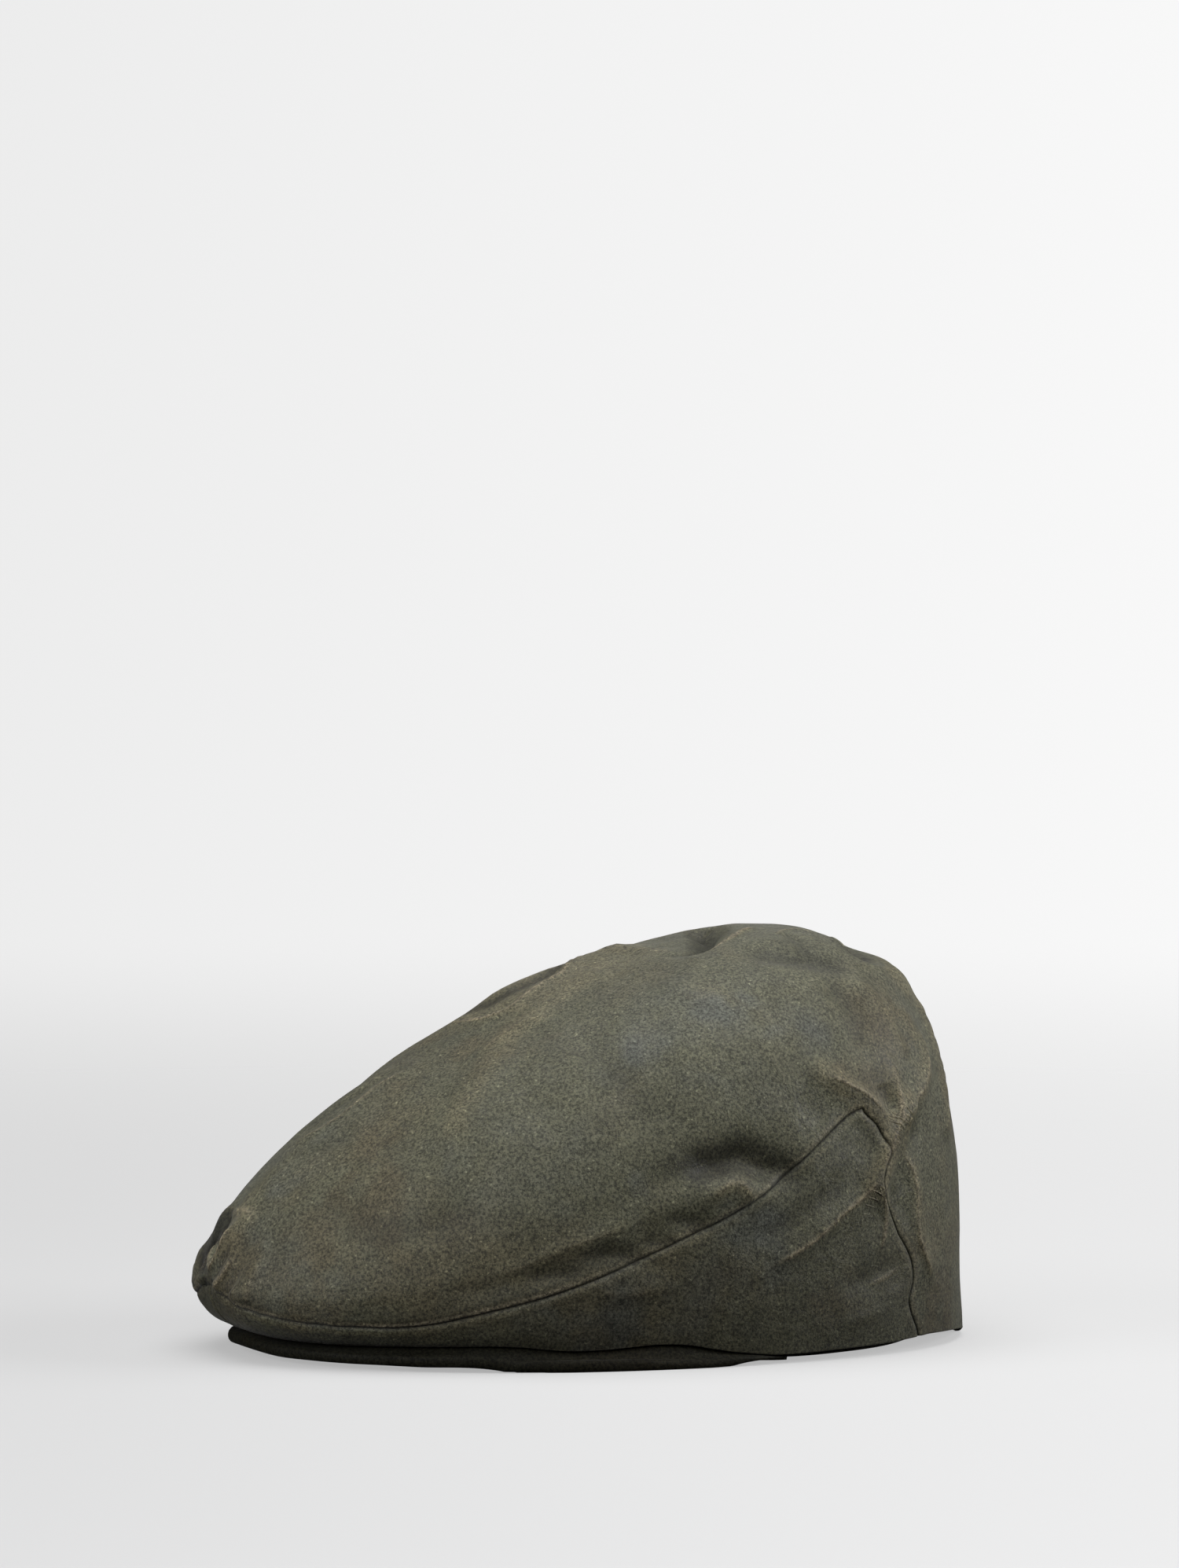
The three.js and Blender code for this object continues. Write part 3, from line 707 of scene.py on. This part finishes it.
def shell(name, points, normals, quads, attributes, uv):
    """Closed cloth wall: outer points, inner points and a rounded strip along its edges."""
    count = len(points)
    inner = points - normals * CLOTH
    # Directed edges that only one face has, which are the border of the grid
    first = quads[:, [0, 1, 2, 3]].ravel()
    second = quads[:, [1, 2, 3, 0]].ravel()
    keep = first != second
    first, second = first[keep], second[keep]
    forward = set(zip(first.tolist(), second.tolist()))
    border = [(a, b) for a, b in forward if (b, a) not in forward]
    onward = {a: b for a, b in border}
    edge = sorted(onward)
    where = {a: i for i, a in enumerate(edge)}
    back = {b: a for a, b in border}
    run = points[[onward[a] for a in edge]] - points[[back[a] for a in edge]]
    out = np.cross(run, normals[edge])
    out /= length(out)[:, None]
    middle = points[edge] - normals[edge] * CLOTH / 2 + out * EDGE_ROUND
    all_points = np.concatenate([points, inner, middle])
    all_points[:, 2] = np.maximum(all_points[:, 2], 0)
    both_walls = np.concatenate([quads, quads[:, [0, 3, 2, 1]] + count])
    faces = [tuple(dict.fromkeys(q)) for q in both_walls.tolist()]
    for a, b in border:
        m, n = 2 * count + where[a], 2 * count + where[b]
        faces.append((b, a, m, n))
        faces.append((n, m, a + count, b + count))
    data = {key: np.concatenate([v, v, v[edge]]) for key, v in attributes.items()}
    data["inside"] = np.concatenate([np.zeros(count), np.ones(count), np.full(len(edge), 0.4)])
    return make_mesh(name, all_points, faces, data, np.concatenate([uv, uv, uv[edge]]))


def crease_fields(points, normals):
    """Signed distance to the nearest pale crease, and how strong it is there."""
    best = np.full(len(points), FAR_AWAY)
    signed = np.full(len(points), NO_CREASE)
    strength = np.zeros(len(points))
    wave = 0.5 * noise3(points, 7.0, CREASE_SEED)
    for line, pale in CREASES:
        at = np.nonzero(near_line(points, line, CREASE_SEARCH))[0]
        if not len(at):
            continue
        dist, off, run, along = line_distance(points[at], line)
        sign = np.sign((np.cross(run, normals[at]) * off).sum(-1))
        fade = smoothstep(along, 0, TAPER) * smoothstep(1 - along, 0, TAPER)
        there = pale * fade * (1 - smoothstep(dist, CREASE_NEAR, CREASE_FAR))
        nearer = dist < best[at]
        chosen = at[nearer]
        best[chosen] = dist[nearer]
        signed[chosen] = (sign * dist)[nearer] + wave[chosen]
        strength[chosen] = there[nearer]
    return signed, strength


def patch_tint(points):
    """How brown, or below zero how blue-grey, the wax is."""
    tint = np.zeros(len(points))
    for around, down, radius, amount in PATCHES:
        for side in (1, -1):
            centre = plain_crown(side * around, down)
            away = length(points - centre) / radius
            tint += amount * np.exp(-away * away)
    return np.clip(tint, -1, 1) * (0.75 + 0.55 * noise3(points, 6.0, PATCH_SEED))


def crown_data(around, down, edge):
    around, down = around.ravel(), down.ravel()
    plain = plain_crown(around, down)
    points = crown(around, down)
    normals = outward(crown, around, down)
    plain_normals = outward(plain_crown, around, down)
    folds = fold_rise(plain, FOLD_LINES) + 1.3 * fine_rise(plain, plain_normals)
    signed, strength = crease_fields(plain, plain_normals)
    # The cloth turns in at its seams, and puckers a little beside them
    less_in_front = 1 - 0.5 * np.exp(-((around / 22) ** 2))
    turn_in = TURN_IN * less_in_front * np.exp(-((edge / TURN_IN_WIDTH) ** 2))
    pucker_zone = np.exp(-((edge / PUCKER_WIDTH) ** 2)) * (1 - smoothstep(down, 0.94, 0.99))
    pillow = PILLOW * np.exp(-(((edge - PILLOW_AT) / PILLOW_WIDTH) ** 2))
    along_seam = np.stack([around * 0.9, around * 0.25, down * 8], -1)
    pucker = PUCKER * noise3(along_seam, 2.1, PUCKER_SEED)
    points = points - normals * (turn_in - pillow - pucker_zone * pucker)[:, None]
    # Where the ridge beside the long seam is rubbed, and the cloth above it gets painted shade, by
    # direction
    turn = np.abs(around)
    rub_and_shading_front = smoothstep(turn, 4, 14) * (1 - 0.75 * smoothstep(turn, 20, 27))
    rub_and_shading_side = 0.75 * smoothstep(turn, 30, 46) * (1 - smoothstep(turn, 66, 78))
    return points, normals, {
        # Fold height: raised folds rubbed paler, hollows given painted shade
        "wear_and_shade": np.clip(folds / 2.2, -1, 1),
        # Painted shade along the dark lines of the fine folds
        "painted_shade": np.clip(fold_rise(plain, SHADE_LINES), 0, 1),
        "tint": patch_tint(plain),
        "rub_and_shading": rub_and_shading_front + rub_and_shading_side,
        "crease_d": signed,
        "crease_k": strength,
        "edge": edge,
        "down": down,
    }


def grid_quads(n_rows, n_cols, closed=False, start=0):
    i = np.arange(n_rows - 1)[:, None]
    j = np.arange(n_cols if closed else n_cols - 1)[None, :]
    nxt = (j + 1) % n_cols
    a = start + i * n_cols + j
    b = start + (i + 1) * n_cols + j
    c = start + (i + 1) * n_cols + nxt
    d = start + i * n_cols + nxt
    return np.stack(np.broadcast_arrays(a, b, c, d), -1).reshape(-1, 4)


def bunch(n, power):
    """Shares from 0 to 1, closer together toward 1."""
    return 1 - (1 - np.linspace(0, 1, n)) ** power


def both_ends(n, power):
    """Shares from 0 to 1, closer together at both ends."""
    half = 0.5 * bunch(n // 2 + 1, power)
    first = 0.5 - half[::-1]
    return np.concatenate([first, 0.5 + half[1:]])


SIDE_SPOKES = 120
REAR_SPOKES = 84
RINGS = 118
SKIRT = 46
SIDE_COLS = 150
SIDE_ROWS = 50
PEAK_STEPS = 260
PEAK_STATIONS = 20
ROLL_ANGLES = (30, 55, 75, 90, 105, 125, 150)
BAND_STEPS = 280
BAND_ROWS = 14


def top_panel():
    apex_edge = APEX + float(around_gap(np.array([APEX]), np.array([APEX_DOWN]))[0])
    left = APEX * (np.arange(SIDE_SPOKES) / SIDE_SPOKES) ** 1.15
    rear = apex_edge + (360 - 2 * apex_edge) * both_ends(REAR_SPOKES, 1.35)
    spokes = np.concatenate([left, rear, 360 - left[:0:-1]])
    signed = np.where(spokes > 180, spokes - 360, spokes)
    total = len(spokes)
    front = np.abs(signed) < APEX
    clipped = np.clip(signed, -APEX, APEX)
    seam = seam_down(clipped)
    apex_limit = APEX_DOWN - float(down_gap(np.array([APEX]), np.array([APEX_DOWN]))[0])
    limit = np.where(front, seam - down_gap(clipped, seam), apex_limit)
    shares = bunch(RINGS + 1, 1.5)[1:]
    around = np.broadcast_to(signed, (RINGS, total))
    down = shares[:, None] * limit[None, :]
    # Skirt at the back, below the side panels' top corners
    rows_down = apex_limit + (1 - apex_limit) * bunch(SKIRT + 1, 1.2)[1:]
    start = rear_around(rows_down)
    edge = start + around_gap(start, np.minimum(rows_down, 0.99))
    share = both_ends(REAR_SPOKES, 1.35)
    skirt = edge[:, None] + (360 - 2 * edge[:, None]) * share[None, :]
    n_rear = skirt.shape[1]
    skirt = np.where(skirt > 180, skirt - 360, skirt)
    skirt_down = np.broadcast_to(rows_down[:, None], skirt.shape)
    all_around = np.concatenate([[0.0], around.ravel(), skirt.ravel()])
    all_down = np.concatenate([[0.0005], down.ravel(), skirt_down.ravel()])
    seams = [seam_curve(1), seam_curve(-1)]
    plain = plain_crown(all_around, all_down)
    edge_dist = np.minimum(line_distance(plain, seams[0])[0], line_distance(plain, seams[1])[0])
    points, normals, data = crown_data(all_around, all_down, edge_dist)
    points[0] = points[1 : 1 + total].mean(0)
    normals[0] = (0, 0, 1)
    j = np.arange(total)
    fan = np.stack([np.zeros(total, int), 1 + j, 1 + (j + 1) % total, np.zeros(total, int)], -1)
    quads = [fan, grid_quads(RINGS, total, True, 1)]
    join = 1 + (RINGS - 1) * total + SIDE_SPOKES + np.arange(n_rear)
    base = 1 + RINGS * total
    below = base + np.arange(n_rear)
    quads.append(np.stack([join[:-1], below[:-1], below[1:], join[1:]], -1))
    quads.append(grid_quads(SKIRT, n_rear, False, base))
    uv = np.stack([all_around / 360, all_down], -1)
    return shell("top_cloth", points, normals, np.concatenate(quads), data, uv)


def seam_curve(side):
    """The long seam and the rear seam of one side as a line on the plain crown."""
    around = np.linspace(0, APEX, 70)
    long_seam = plain_crown(side * around, seam_down(around))
    down = np.linspace(APEX_DOWN, 1, 40)[1:]
    rear = plain_crown(side * rear_around(down), down)
    return np.concatenate([long_seam, rear])


def side_panel(name, side):
    share_rows = both_ends(SIDE_ROWS, 1.25)
    guess = APEX_DOWN + (1 - APEX_DOWN) * share_rows
    rear = rear_around(guess)
    cols = np.linspace(0, 1, SIDE_COLS)
    cols = 1 - (1 - cols**1.12) ** 1.1
    last = rear - around_gap(rear, np.minimum(guess, 0.99))
    turn = cols[None, :] * last[:, None]
    front = float(around_gap(np.array([0.5]), np.array([0.9]))[0])
    turn = np.maximum(turn, front)
    around = side * turn
    corner = np.minimum(turn, APEX)
    seam = seam_down(corner)
    start = seam + down_gap(corner, seam)
    down = start + (1 - start) * share_rows[:, None]
    around, down = around.ravel(), down.ravel()
    plain = plain_crown(around, down)
    edge_dist = np.minimum(line_distance(plain, seam_curve(side))[0], np.abs(plain[:, 0]))
    points, normals, data = crown_data(around, down, edge_dist)
    # Painted light: below zero toward the front of the side panel, which lightens it
    data["rub_and_shading"] = smoothstep(turn.ravel(), 45, 80) - 1
    quads = grid_quads(len(share_rows), SIDE_COLS)
    if side < 0:
        quads = quads[:, ::-1]
    uv = np.stack([around / 360, down], -1)
    return shell(name, points, normals, quads, data, uv)


def peak():
    around = np.linspace(-PEAK_END, PEAK_END, PEAK_STEPS)
    inner, rim = peak_inner(around), peak_rim(around)
    depth = peak_depth(around)
    flat = 1 - np.clip(0.45 * depth / length(rim - inner), 0, 0.3)
    loops = []

    def place(share, height):
        plan = inner + (rim - inner) * np.asarray(share)[:, None]
        loops.append(np.concatenate([plan, height[:, None]], -1))

    turn = np.abs(around)
    rise = smooth_row(PEAK_RISE, "around", turn, "rise")
    low = np.maximum(peak_under(around, 1.0), 0) + rise
    tail = np.clip((turn - PEAK_TAIL_FROM) / (PEAK_END - PEAK_TAIL_FROM), 0, 1)
    rim = inner + (rim - inner) * (1 - 0.85 * tail**2)[:, None]
    stations = np.linspace(0, 1, PEAK_STATIONS)
    for s in stations:
        place(s * flat, np.maximum(peak_under(around, s * flat), 0) + rise * s**3)
    top_low = peak_top(around, flat)
    for angle in ROLL_ANGLES:
        a = angle * RAD
        share = flat + (1 - flat) * math.sin(a) ** 0.8
        bottom = low + (top_low - low) * (1 - math.cos(a)) / 2
        place(share, bottom)
    for s in stations[::-1]:
        place(s * flat, peak_top(around, s * flat))
    grid = np.stack(loops, 1)
    size = grid.shape[1]
    points = grid.reshape(-1, 3)
    soft = 0.12 * noise3(points, 14.0, PEAK_SEED)
    points[:, 2] = np.maximum(points[:, 2] + soft * (points[:, 2] > 0.05), 0)
    quads = grid_quads(PEAK_STEPS, size, True).tolist()
    quads.append(list(range(size)))
    quads.append(list(range((PEAK_STEPS - 1) * size, PEAK_STEPS * size))[::-1])
    roll = np.ones(len(ROLL_ANGLES))
    share = np.tile(np.concatenate([stations, roll, stations[::-1]]), PEAK_STEPS)
    rim_line = np.tile(np.concatenate([0 * stations, roll, 0 * stations]), PEAK_STEPS)
    data = {key: np.zeros(len(points)) for key in ("crease_k", "inside", "painted_shade", "tint", "rub_and_shading")}
    data["wear_and_shade"] = 0.3 * rim_line
    data["crease_d"] = np.full(len(points), NO_CREASE)
    data["edge"] = 20 * (1 - share) + 3
    data["down"] = share
    uv = np.stack([np.repeat(around / 360, size), share], -1)
    return make_mesh("peak_cloth", points, quads, data, uv)


def band():
    steps = BAND_STEPS
    around = -180 + 360 * np.arange(steps) / steps
    foot = CROWN_HEIGHT * smooth_row(HEM_HEIGHTS, "around", np.abs(around), "foot")
    loops = []

    def place(inset, height):
        deep = BAND_INSET + inset
        plan = oval(around, BAND_FRONT - inset, HEM_SIDE - deep, HEM_REAR - deep)
        loops.append(np.concatenate([plan, (foot + height)[:, None]], -1))

    heights = np.linspace(0.4, BAND_HEIGHT - 0.4, BAND_ROWS)
    lean = BAND_LEAN / BAND_HEIGHT
    place(BAND_THICKNESS * 0.5, 0.0)
    for h in heights:
        place(lean * h, h)
    place(BAND_LEAN + BAND_THICKNESS * 0.5, BAND_HEIGHT)
    for h in heights[::-1]:
        place(lean * h + BAND_THICKNESS, h)
    grid = np.stack(loops, 1)
    size = grid.shape[1]
    points = grid.reshape(-1, 3)
    quads = grid_quads(steps, size, True)
    wrap = np.stack(
        [
            (steps - 1) * size + np.arange(size),
            np.arange(size),
            (np.arange(size) + 1) % size,
            (steps - 1) * size + (np.arange(size) + 1) % size,
        ],
        -1,
    )
    quads = np.concatenate([quads, wrap]).tolist()
    heights_all = np.tile(np.concatenate([[0], heights, [BAND_HEIGHT], heights[::-1]]), steps)
    uv = np.stack([np.repeat(around / 360, size), heights_all / BAND_HEIGHT], -1)
    return make_mesh("band_cloth", points, quads, {}, uv)


# Materials
class Nodes:
    def __init__(self, name):
        self.material = bpy.data.materials.new(name)
        self.material.use_nodes = True
        self.tree = self.material.node_tree
        self.tree.nodes.clear()

    def add(self, kind, **values):
        node = self.tree.nodes.new(kind)
        for key, value in values.items():
            setattr(node, key, value)
        return node

    def link(self, source, target):
        self.tree.links.new(source, target)

    def value(self, source, socket):
        if isinstance(source, (int, float)):
            socket.default_value = source
        else:
            self.link(source, socket)

    def math(self, operation, a, b=0.0, clamp=False):
        node = self.add("ShaderNodeMath", operation=operation, use_clamp=clamp)
        self.value(a, node.inputs[0])
        self.value(b, node.inputs[1])
        return node.outputs[0]

    def times(self, first, *others):
        for other in others:
            first = self.math("MULTIPLY", first, other)
        return first

    def bump(self, height, strength, distance, under=None):
        node = self.add("ShaderNodeBump")
        node.inputs["Strength"].default_value = strength
        node.inputs["Distance"].default_value = distance
        self.link(height, node.inputs["Height"])
        if under:
            self.link(under, node.inputs["Normal"])
        return node.outputs[0]

    def scaled(self, colour, value):
        node = self.add("ShaderNodeVectorMath", operation="SCALE")
        if isinstance(colour, tuple):
            node.inputs[0].default_value = colour
        else:
            self.link(colour, node.inputs[0])
        self.link(value, node.inputs["Scale"])
        return node.outputs[0]

    def surface(self, source):
        out = self.add("ShaderNodeOutputMaterial")
        self.link(source, out.inputs["Surface"])
        return self.material

    def noise(self, vector, scale, detail=2.0, rough=0.5, distortion=0.0):
        node = self.add("ShaderNodeTexNoise")
        self.link(vector, node.inputs["Vector"])
        node.inputs["Scale"].default_value = scale
        node.inputs["Detail"].default_value = detail
        node.inputs["Roughness"].default_value = rough
        node.inputs["Distortion"].default_value = distortion
        return node.outputs["Fac"]

    def attribute(self, name):
        node = self.add("ShaderNodeAttribute", attribute_name=name)
        return node.outputs["Fac"]

    def ramp(self, source, stops):
        node = self.add("ShaderNodeMapRange", interpolation_type="SMOOTHSTEP")
        self.link(source, node.inputs["Value"])
        node.inputs["From Min"].default_value = stops[0]
        node.inputs["From Max"].default_value = stops[1]
        node.inputs["To Min"].default_value = stops[2]
        node.inputs["To Max"].default_value = stops[3]
        return node.outputs["Result"]

    def mix(self, factor, a, b, blend="MIX"):
        node = self.add("ShaderNodeMix", data_type="RGBA", blend_type=blend)
        self.value(factor, node.inputs[0])
        for source, socket in ((a, node.inputs[6]), (b, node.inputs[7])):
            if isinstance(source, tuple):
                socket.default_value = (*source, 1.0)
            else:
                self.link(source, socket)
        return node.outputs[2]


OLIVE = (0.082, 0.081, 0.051)
BROWN = (0.093, 0.08, 0.046)
GREY = (0.078, 0.082, 0.068)
PALE_CREASE = (0.24, 0.2, 0.13)
PALE_SEAM = (0.33, 0.29, 0.2)
TAPE = (0.035, 0.032, 0.026)


def waxed(name, shade_level=1.0, gloss=1.0):
    """Waxed cotton: grain, wax patches, rubbed creases and seams, with painted shade in hollows, above
    the long seam, low down, inside and by the shade factor, and painted light on the side panels'
    front.
    """
    n = Nodes(name)
    coords = n.add("ShaderNodeTexCoord").outputs["Object"]
    wear_and_shade = n.attribute("wear_and_shade")
    edge = n.attribute("edge")
    inside = n.attribute("inside")
    crease_d = n.attribute("crease_d")
    crease_k = n.attribute("crease_k")
    # Broad patches where the wax is browner or greyer
    patch = n.ramp(n.noise(coords, 17.0, 3.0, 0.6, 0.4), (0.45, 0.75, 0.0, 0.8))
    cool = n.ramp(n.noise(coords, 23.0, 3.0, 0.6, 0.2), (0.52, 0.8, 0.0, 0.6))
    colour = n.mix(patch, OLIVE, BROWN)
    colour = n.mix(cool, colour, GREY)
    uneven = n.ramp(n.noise(coords, 45.0, 3.0, 0.6), (0.3, 0.7, -0.35, 0.35))
    tint = n.math("ADD", n.attribute("tint"), uneven)
    colour = n.mix(n.ramp(tint, (0.1, 1.0, 0.0, 0.85)), colour, tuple(1.12 * c for c in BROWN))
    colour = n.mix(n.ramp(tint, (-0.1, -1.0, 0.0, 0.85)), colour, GREY)
    stained = n.ramp(tint, (0.0, 1.0, 1.0, 0.76))
    small = n.ramp(n.noise(coords, 95.0, 4.0, 0.65), (0.3, 0.7, 0.88, 1.12))
    # Raised folds are rubbed paler and browner, hollows get painted shade
    rubbed = n.ramp(wear_and_shade, (0.15, 0.8, 0.0, 0.45))
    broken = n.ramp(n.noise(coords, 160.0, 3.0, 0.7), (0.35, 0.6, 0.5, 1.0))
    colour = n.mix(n.times(rubbed, broken), colour, tuple(1.7 * c for c in BROWN))
    line = n.ramp(n.math("ABSOLUTE", crease_d), (0.0, 1.3, 1.0, 0.0))
    line = n.times(line, crease_k, broken)
    colour = n.mix(n.times(line, 0.75), colour, PALE_CREASE)
    hollow_shade = n.ramp(wear_and_shade, (-1.0, -0.05, 0.62, 1.0))
    # Darker thread line at the seams, with a rubbed ridge beside it
    seam = n.ramp(edge, (0.1, 0.7, 0.45, 1.0))
    seam_rub_and_shading = n.attribute("rub_and_shading")
    rub_and_shading = n.times(n.ramp(edge, (0.35, 0.8, 0.0, 1.0)), n.ramp(edge, (1.3, 2.3, 1.0, 0.0)), seam_rub_and_shading)
    colour = n.mix(n.times(rub_and_shading, broken), colour, PALE_SEAM)
    ridge = n.times(n.ramp(edge, (0.9, 1.6, 0.0, 1.0)), n.ramp(edge, (1.7, 3.6, 1.0, 0.0)))
    colour = n.mix(n.times(ridge, broken, 0.22), colour, tuple(1.6 * c for c in BROWN))
    # Grain of the weave
    grain = n.ramp(n.noise(coords, 1080.0, 3.0, 0.8), (0.34, 0.66, 0.34, 1.76))
    speck = n.ramp(n.noise(coords, 760.0, 2.0, 0.5), (0.64, 0.74, 1.0, 2.0))
    # Painted shade on the cloth a few millimetres above the long seam
    shade_beside = n.math("MULTIPLY", n.ramp(edge, (1.2, 7.0, 0.32, 0.0)), seam_rub_and_shading, clamp=True)
    value = n.times(
        n.times(small, hollow_shade),
        n.times(grain, speck),
        seam,
        stained,
        n.math("SUBTRACT", 1.0, shade_beside),
        # Painted light: the side panels' front part made lighter
        n.ramp(seam_rub_and_shading, (-1.0, 0.0, 1.45, 1.0)),
        # Painted shade along the dark lines of the fine folds
        n.ramp(n.attribute("painted_shade"), (0.0, 1.0, 1.0, 0.3)),
        # Painted shade: darker toward the bottom, where the crown tucks under
        n.ramp(n.attribute("down"), (0.74, 1.0, 1.0, 0.72)),
        # Painted shade: the inner wall darker, and the whole cloth scaled darker by the material's
        # shade factor
        n.ramp(inside, (0.2, 1.0, shade_level, 0.6 * shade_level)),
    )
    shader = n.add("ShaderNodeBsdfPrincipled")
    n.link(n.scaled(colour, value), shader.inputs["Base Color"])
    rough = n.ramp(n.noise(coords, 60.0, 3.0, 0.6), (0.3, 0.7, 0.5, 0.7))
    n.link(rough, shader.inputs["Roughness"])
    shader.inputs["Specular IOR Level"].default_value = 0.32 * gloss
    shader.inputs["Sheen Weight"].default_value = 0.12 * gloss
    shader.inputs["Sheen Roughness"].default_value = 0.45
    # Bump: weave, small crumples and the creases
    weave = n.bump(n.noise(coords, 1700.0, 2.0, 0.6), 0.7, 0.00018)
    crumple = n.bump(n.noise(coords, 130.0, 4.0, 0.55, 0.6), 0.55, 0.0011, weave)
    n.link(n.bump(line, 0.6, 0.0008, crumple), shader.inputs["Normal"])
    return n.surface(shader.outputs[0])


def tape(name, base):
    n = Nodes(name)
    coords = n.add("ShaderNodeTexCoord").outputs["Object"]
    grain = n.ramp(n.noise(coords, 1400.0, 2.0, 0.6), (0.25, 0.75, 0.75, 1.3))
    patch = n.ramp(n.noise(coords, 60.0, 3.0, 0.6), (0.3, 0.7, 0.85, 1.15))
    shader = n.add("ShaderNodeBsdfPrincipled")
    n.link(n.scaled(base, n.times(grain, patch)), shader.inputs["Base Color"])
    n.link(n.ramp(n.noise(coords, 80.0), (0.3, 0.7, 0.75, 0.9)), shader.inputs["Roughness"])
    shader.inputs["Specular IOR Level"].default_value = 0.25
    weave = n.bump(n.noise(coords, 1100.0, 2.0, 0.6), 0.6, 0.0002)
    n.link(weave, shader.inputs["Normal"])
    return n.surface(shader.outputs[0])


# Painted shade: the side panels a little darker and the peak much darker than the top panel, all the
# same cloth
cloth_top = waxed("waxed_cotton_top")
cloth_side = waxed("waxed_cotton_side", 0.88)
cloth_peak = waxed("waxed_cotton_peak", 0.17, 0.3)
band_tape = tape("band_cloth", TAPE)

pieces = (
    (top_panel(), "top_panel", "waxed_cotton_top", cloth_top),
    (side_panel("left_cloth", 1), "left_side_panel", "waxed_cotton_side", cloth_side),
    (side_panel("right_cloth", -1), "right_side_panel", "waxed_cotton_side", cloth_side),
    (peak(), "peak", "waxed_cotton_peak", cloth_peak),
    (band(), "sweatband", "band_cloth", band_tape),
)
for obj, node, slot, material in pieces:
    obj.data.materials.append(material)
    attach(obj, "root")
    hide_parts(node)

# Floor, which fades into the pale background far from the cap
VIEW_AZIMUTH = 70 * RAD
VIEW_PITCH = 4.06 * RAD
VIEW_DISTANCE = 4.0
VIEW_RIGHT = 0.0046
VIEW_UP = 0.1131
FLOOR_HALF = 3.0
away = Vector((-math.sin(VIEW_AZIMUTH), math.cos(VIEW_AZIMUTH), 0))
across = Vector((math.cos(VIEW_AZIMUTH), math.sin(VIEW_AZIMUTH), 0))
mesh = bpy.data.meshes.new("floor")
corners = [(-1, -1), (1, -1), (1, 1), (-1, 1)]
corners = [tuple((across * a + away * b) * FLOOR_HALF) for a, b in corners]
mesh.from_pydata(corners, [], [(0, 1, 2, 3)])
floor = bpy.data.objects.new("floor", mesh)
bpy.context.scene.collection.objects.link(floor)
n = Nodes("pale_paper")
shader = n.add("ShaderNodeBsdfPrincipled")
shader.inputs["Base Color"].default_value = (0.31, 0.31, 0.312, 1)
shader.inputs["Emission Color"].default_value = (1, 1, 1, 1)
shader.inputs["Roughness"].default_value = 0.9
shader.inputs["Specular IOR Level"].default_value = 0.05
clear = n.add("ShaderNodeBsdfTransparent")
position = n.add("ShaderNodeTexCoord").outputs["Object"]
sideways = n.add("ShaderNodeVectorMath", operation="DOT_PRODUCT")
n.link(position, sideways.inputs[0])
sideways.inputs[1].default_value = across
glow = n.ramp(sideways.outputs["Value"], (-0.26, 0.26, 0.37, 0.475))
n.link(glow, shader.inputs["Emission Strength"])
distance_node = n.add("ShaderNodeVectorMath", operation="LENGTH")
n.link(position, distance_node.inputs[0])
fade = n.add("ShaderNodeMixShader")
n.link(n.ramp(distance_node.outputs["Value"], (0.3, 1.6, 0.0, 1.0)), fade.inputs[0])
n.link(shader.outputs[0], fade.inputs[1])
n.link(clear.outputs[0], fade.inputs[2])
mesh.materials.append(n.surface(fade.outputs[0]))
floor.visible_diffuse = False
floor.visible_glossy = False


def area_light(name, location, size, power):
    """Area light that faces the cap."""
    data = bpy.data.lights.new(name, "AREA")
    data.shape = "RECTANGLE"
    data.size, data.size_y = size
    data.energy = power
    light = bpy.data.objects.new(name, data)
    light.location = location
    direction = LIT_POINT - location
    light.rotation_euler = direction.to_track_quat("-Z", "Y").to_euler()
    bpy.context.scene.collection.objects.link(light)


def around_cap(sideways, behind, height):
    """Place given as the camera sees it: to the right, further away and up."""
    return across * sideways + away * behind + Vector((0, 0, height))


LIT_POINT = Vector((0, 0, 0.05))
area_light("overhead", around_cap(0.1, 0.0, 2.0), (2.2, 2.2), 41)
area_light("left_side", around_cap(-2.3, -1.2, 1.0), (2.0, 1.4), 34)
area_light("right_side", around_cap(2.4, -0.1, 1.0), (1.6, 1.2), 43)
area_light("front_side", around_cap(-0.2, -2.5, 1.4), (2.2, 1.4), 16)

world = bpy.data.worlds.new("studio")
world.use_nodes = True
sky = world.node_tree
background = sky.nodes["Background"]
background.inputs["Color"].default_value = (1, 1, 1, 1)
facing = sky.nodes.new("ShaderNodeVectorMath")
facing.operation = "DOT_PRODUCT"
sky.links.new(sky.nodes.new("ShaderNodeTexCoord").outputs["Generated"], facing.inputs[0])
facing.inputs[1].default_value = across
paler = sky.nodes.new("ShaderNodeMapRange")
paler.inputs["From Min"].default_value = -0.06
paler.inputs["From Max"].default_value = 0.06
paler.inputs["To Min"].default_value = 0.83
paler.inputs["To Max"].default_value = 0.95
sky.links.new(facing.outputs["Value"], paler.inputs["Value"])
sky.links.new(paler.outputs["Result"], background.inputs["Strength"])
bpy.context.scene.world = world
world.cycles_visibility.diffuse = False
world.cycles_visibility.glossy = False
bpy.context.scene.view_settings.view_transform = "Standard"

# Camera at the photo's angle
back = Vector((0, 0, math.sin(VIEW_PITCH))) - away * math.cos(VIEW_PITCH)
up = back.cross(across)
camera_data = bpy.data.cameras.new("camera")
camera_data.lens = 286
camera_data.sensor_width = 36
camera_data.clip_end = 100
camera = bpy.data.objects.new("camera", camera_data)
cap_middle = Vector((0, -0.001, 0.066))
place = cap_middle + back * VIEW_DISTANCE + across * VIEW_RIGHT + up * VIEW_UP
facing_cap = Matrix((across, up, back)).transposed().to_4x4()
camera.matrix_world = Matrix.Translation(place) @ facing_cap
bpy.context.scene.collection.objects.link(camera)
bpy.context.scene.camera = camera
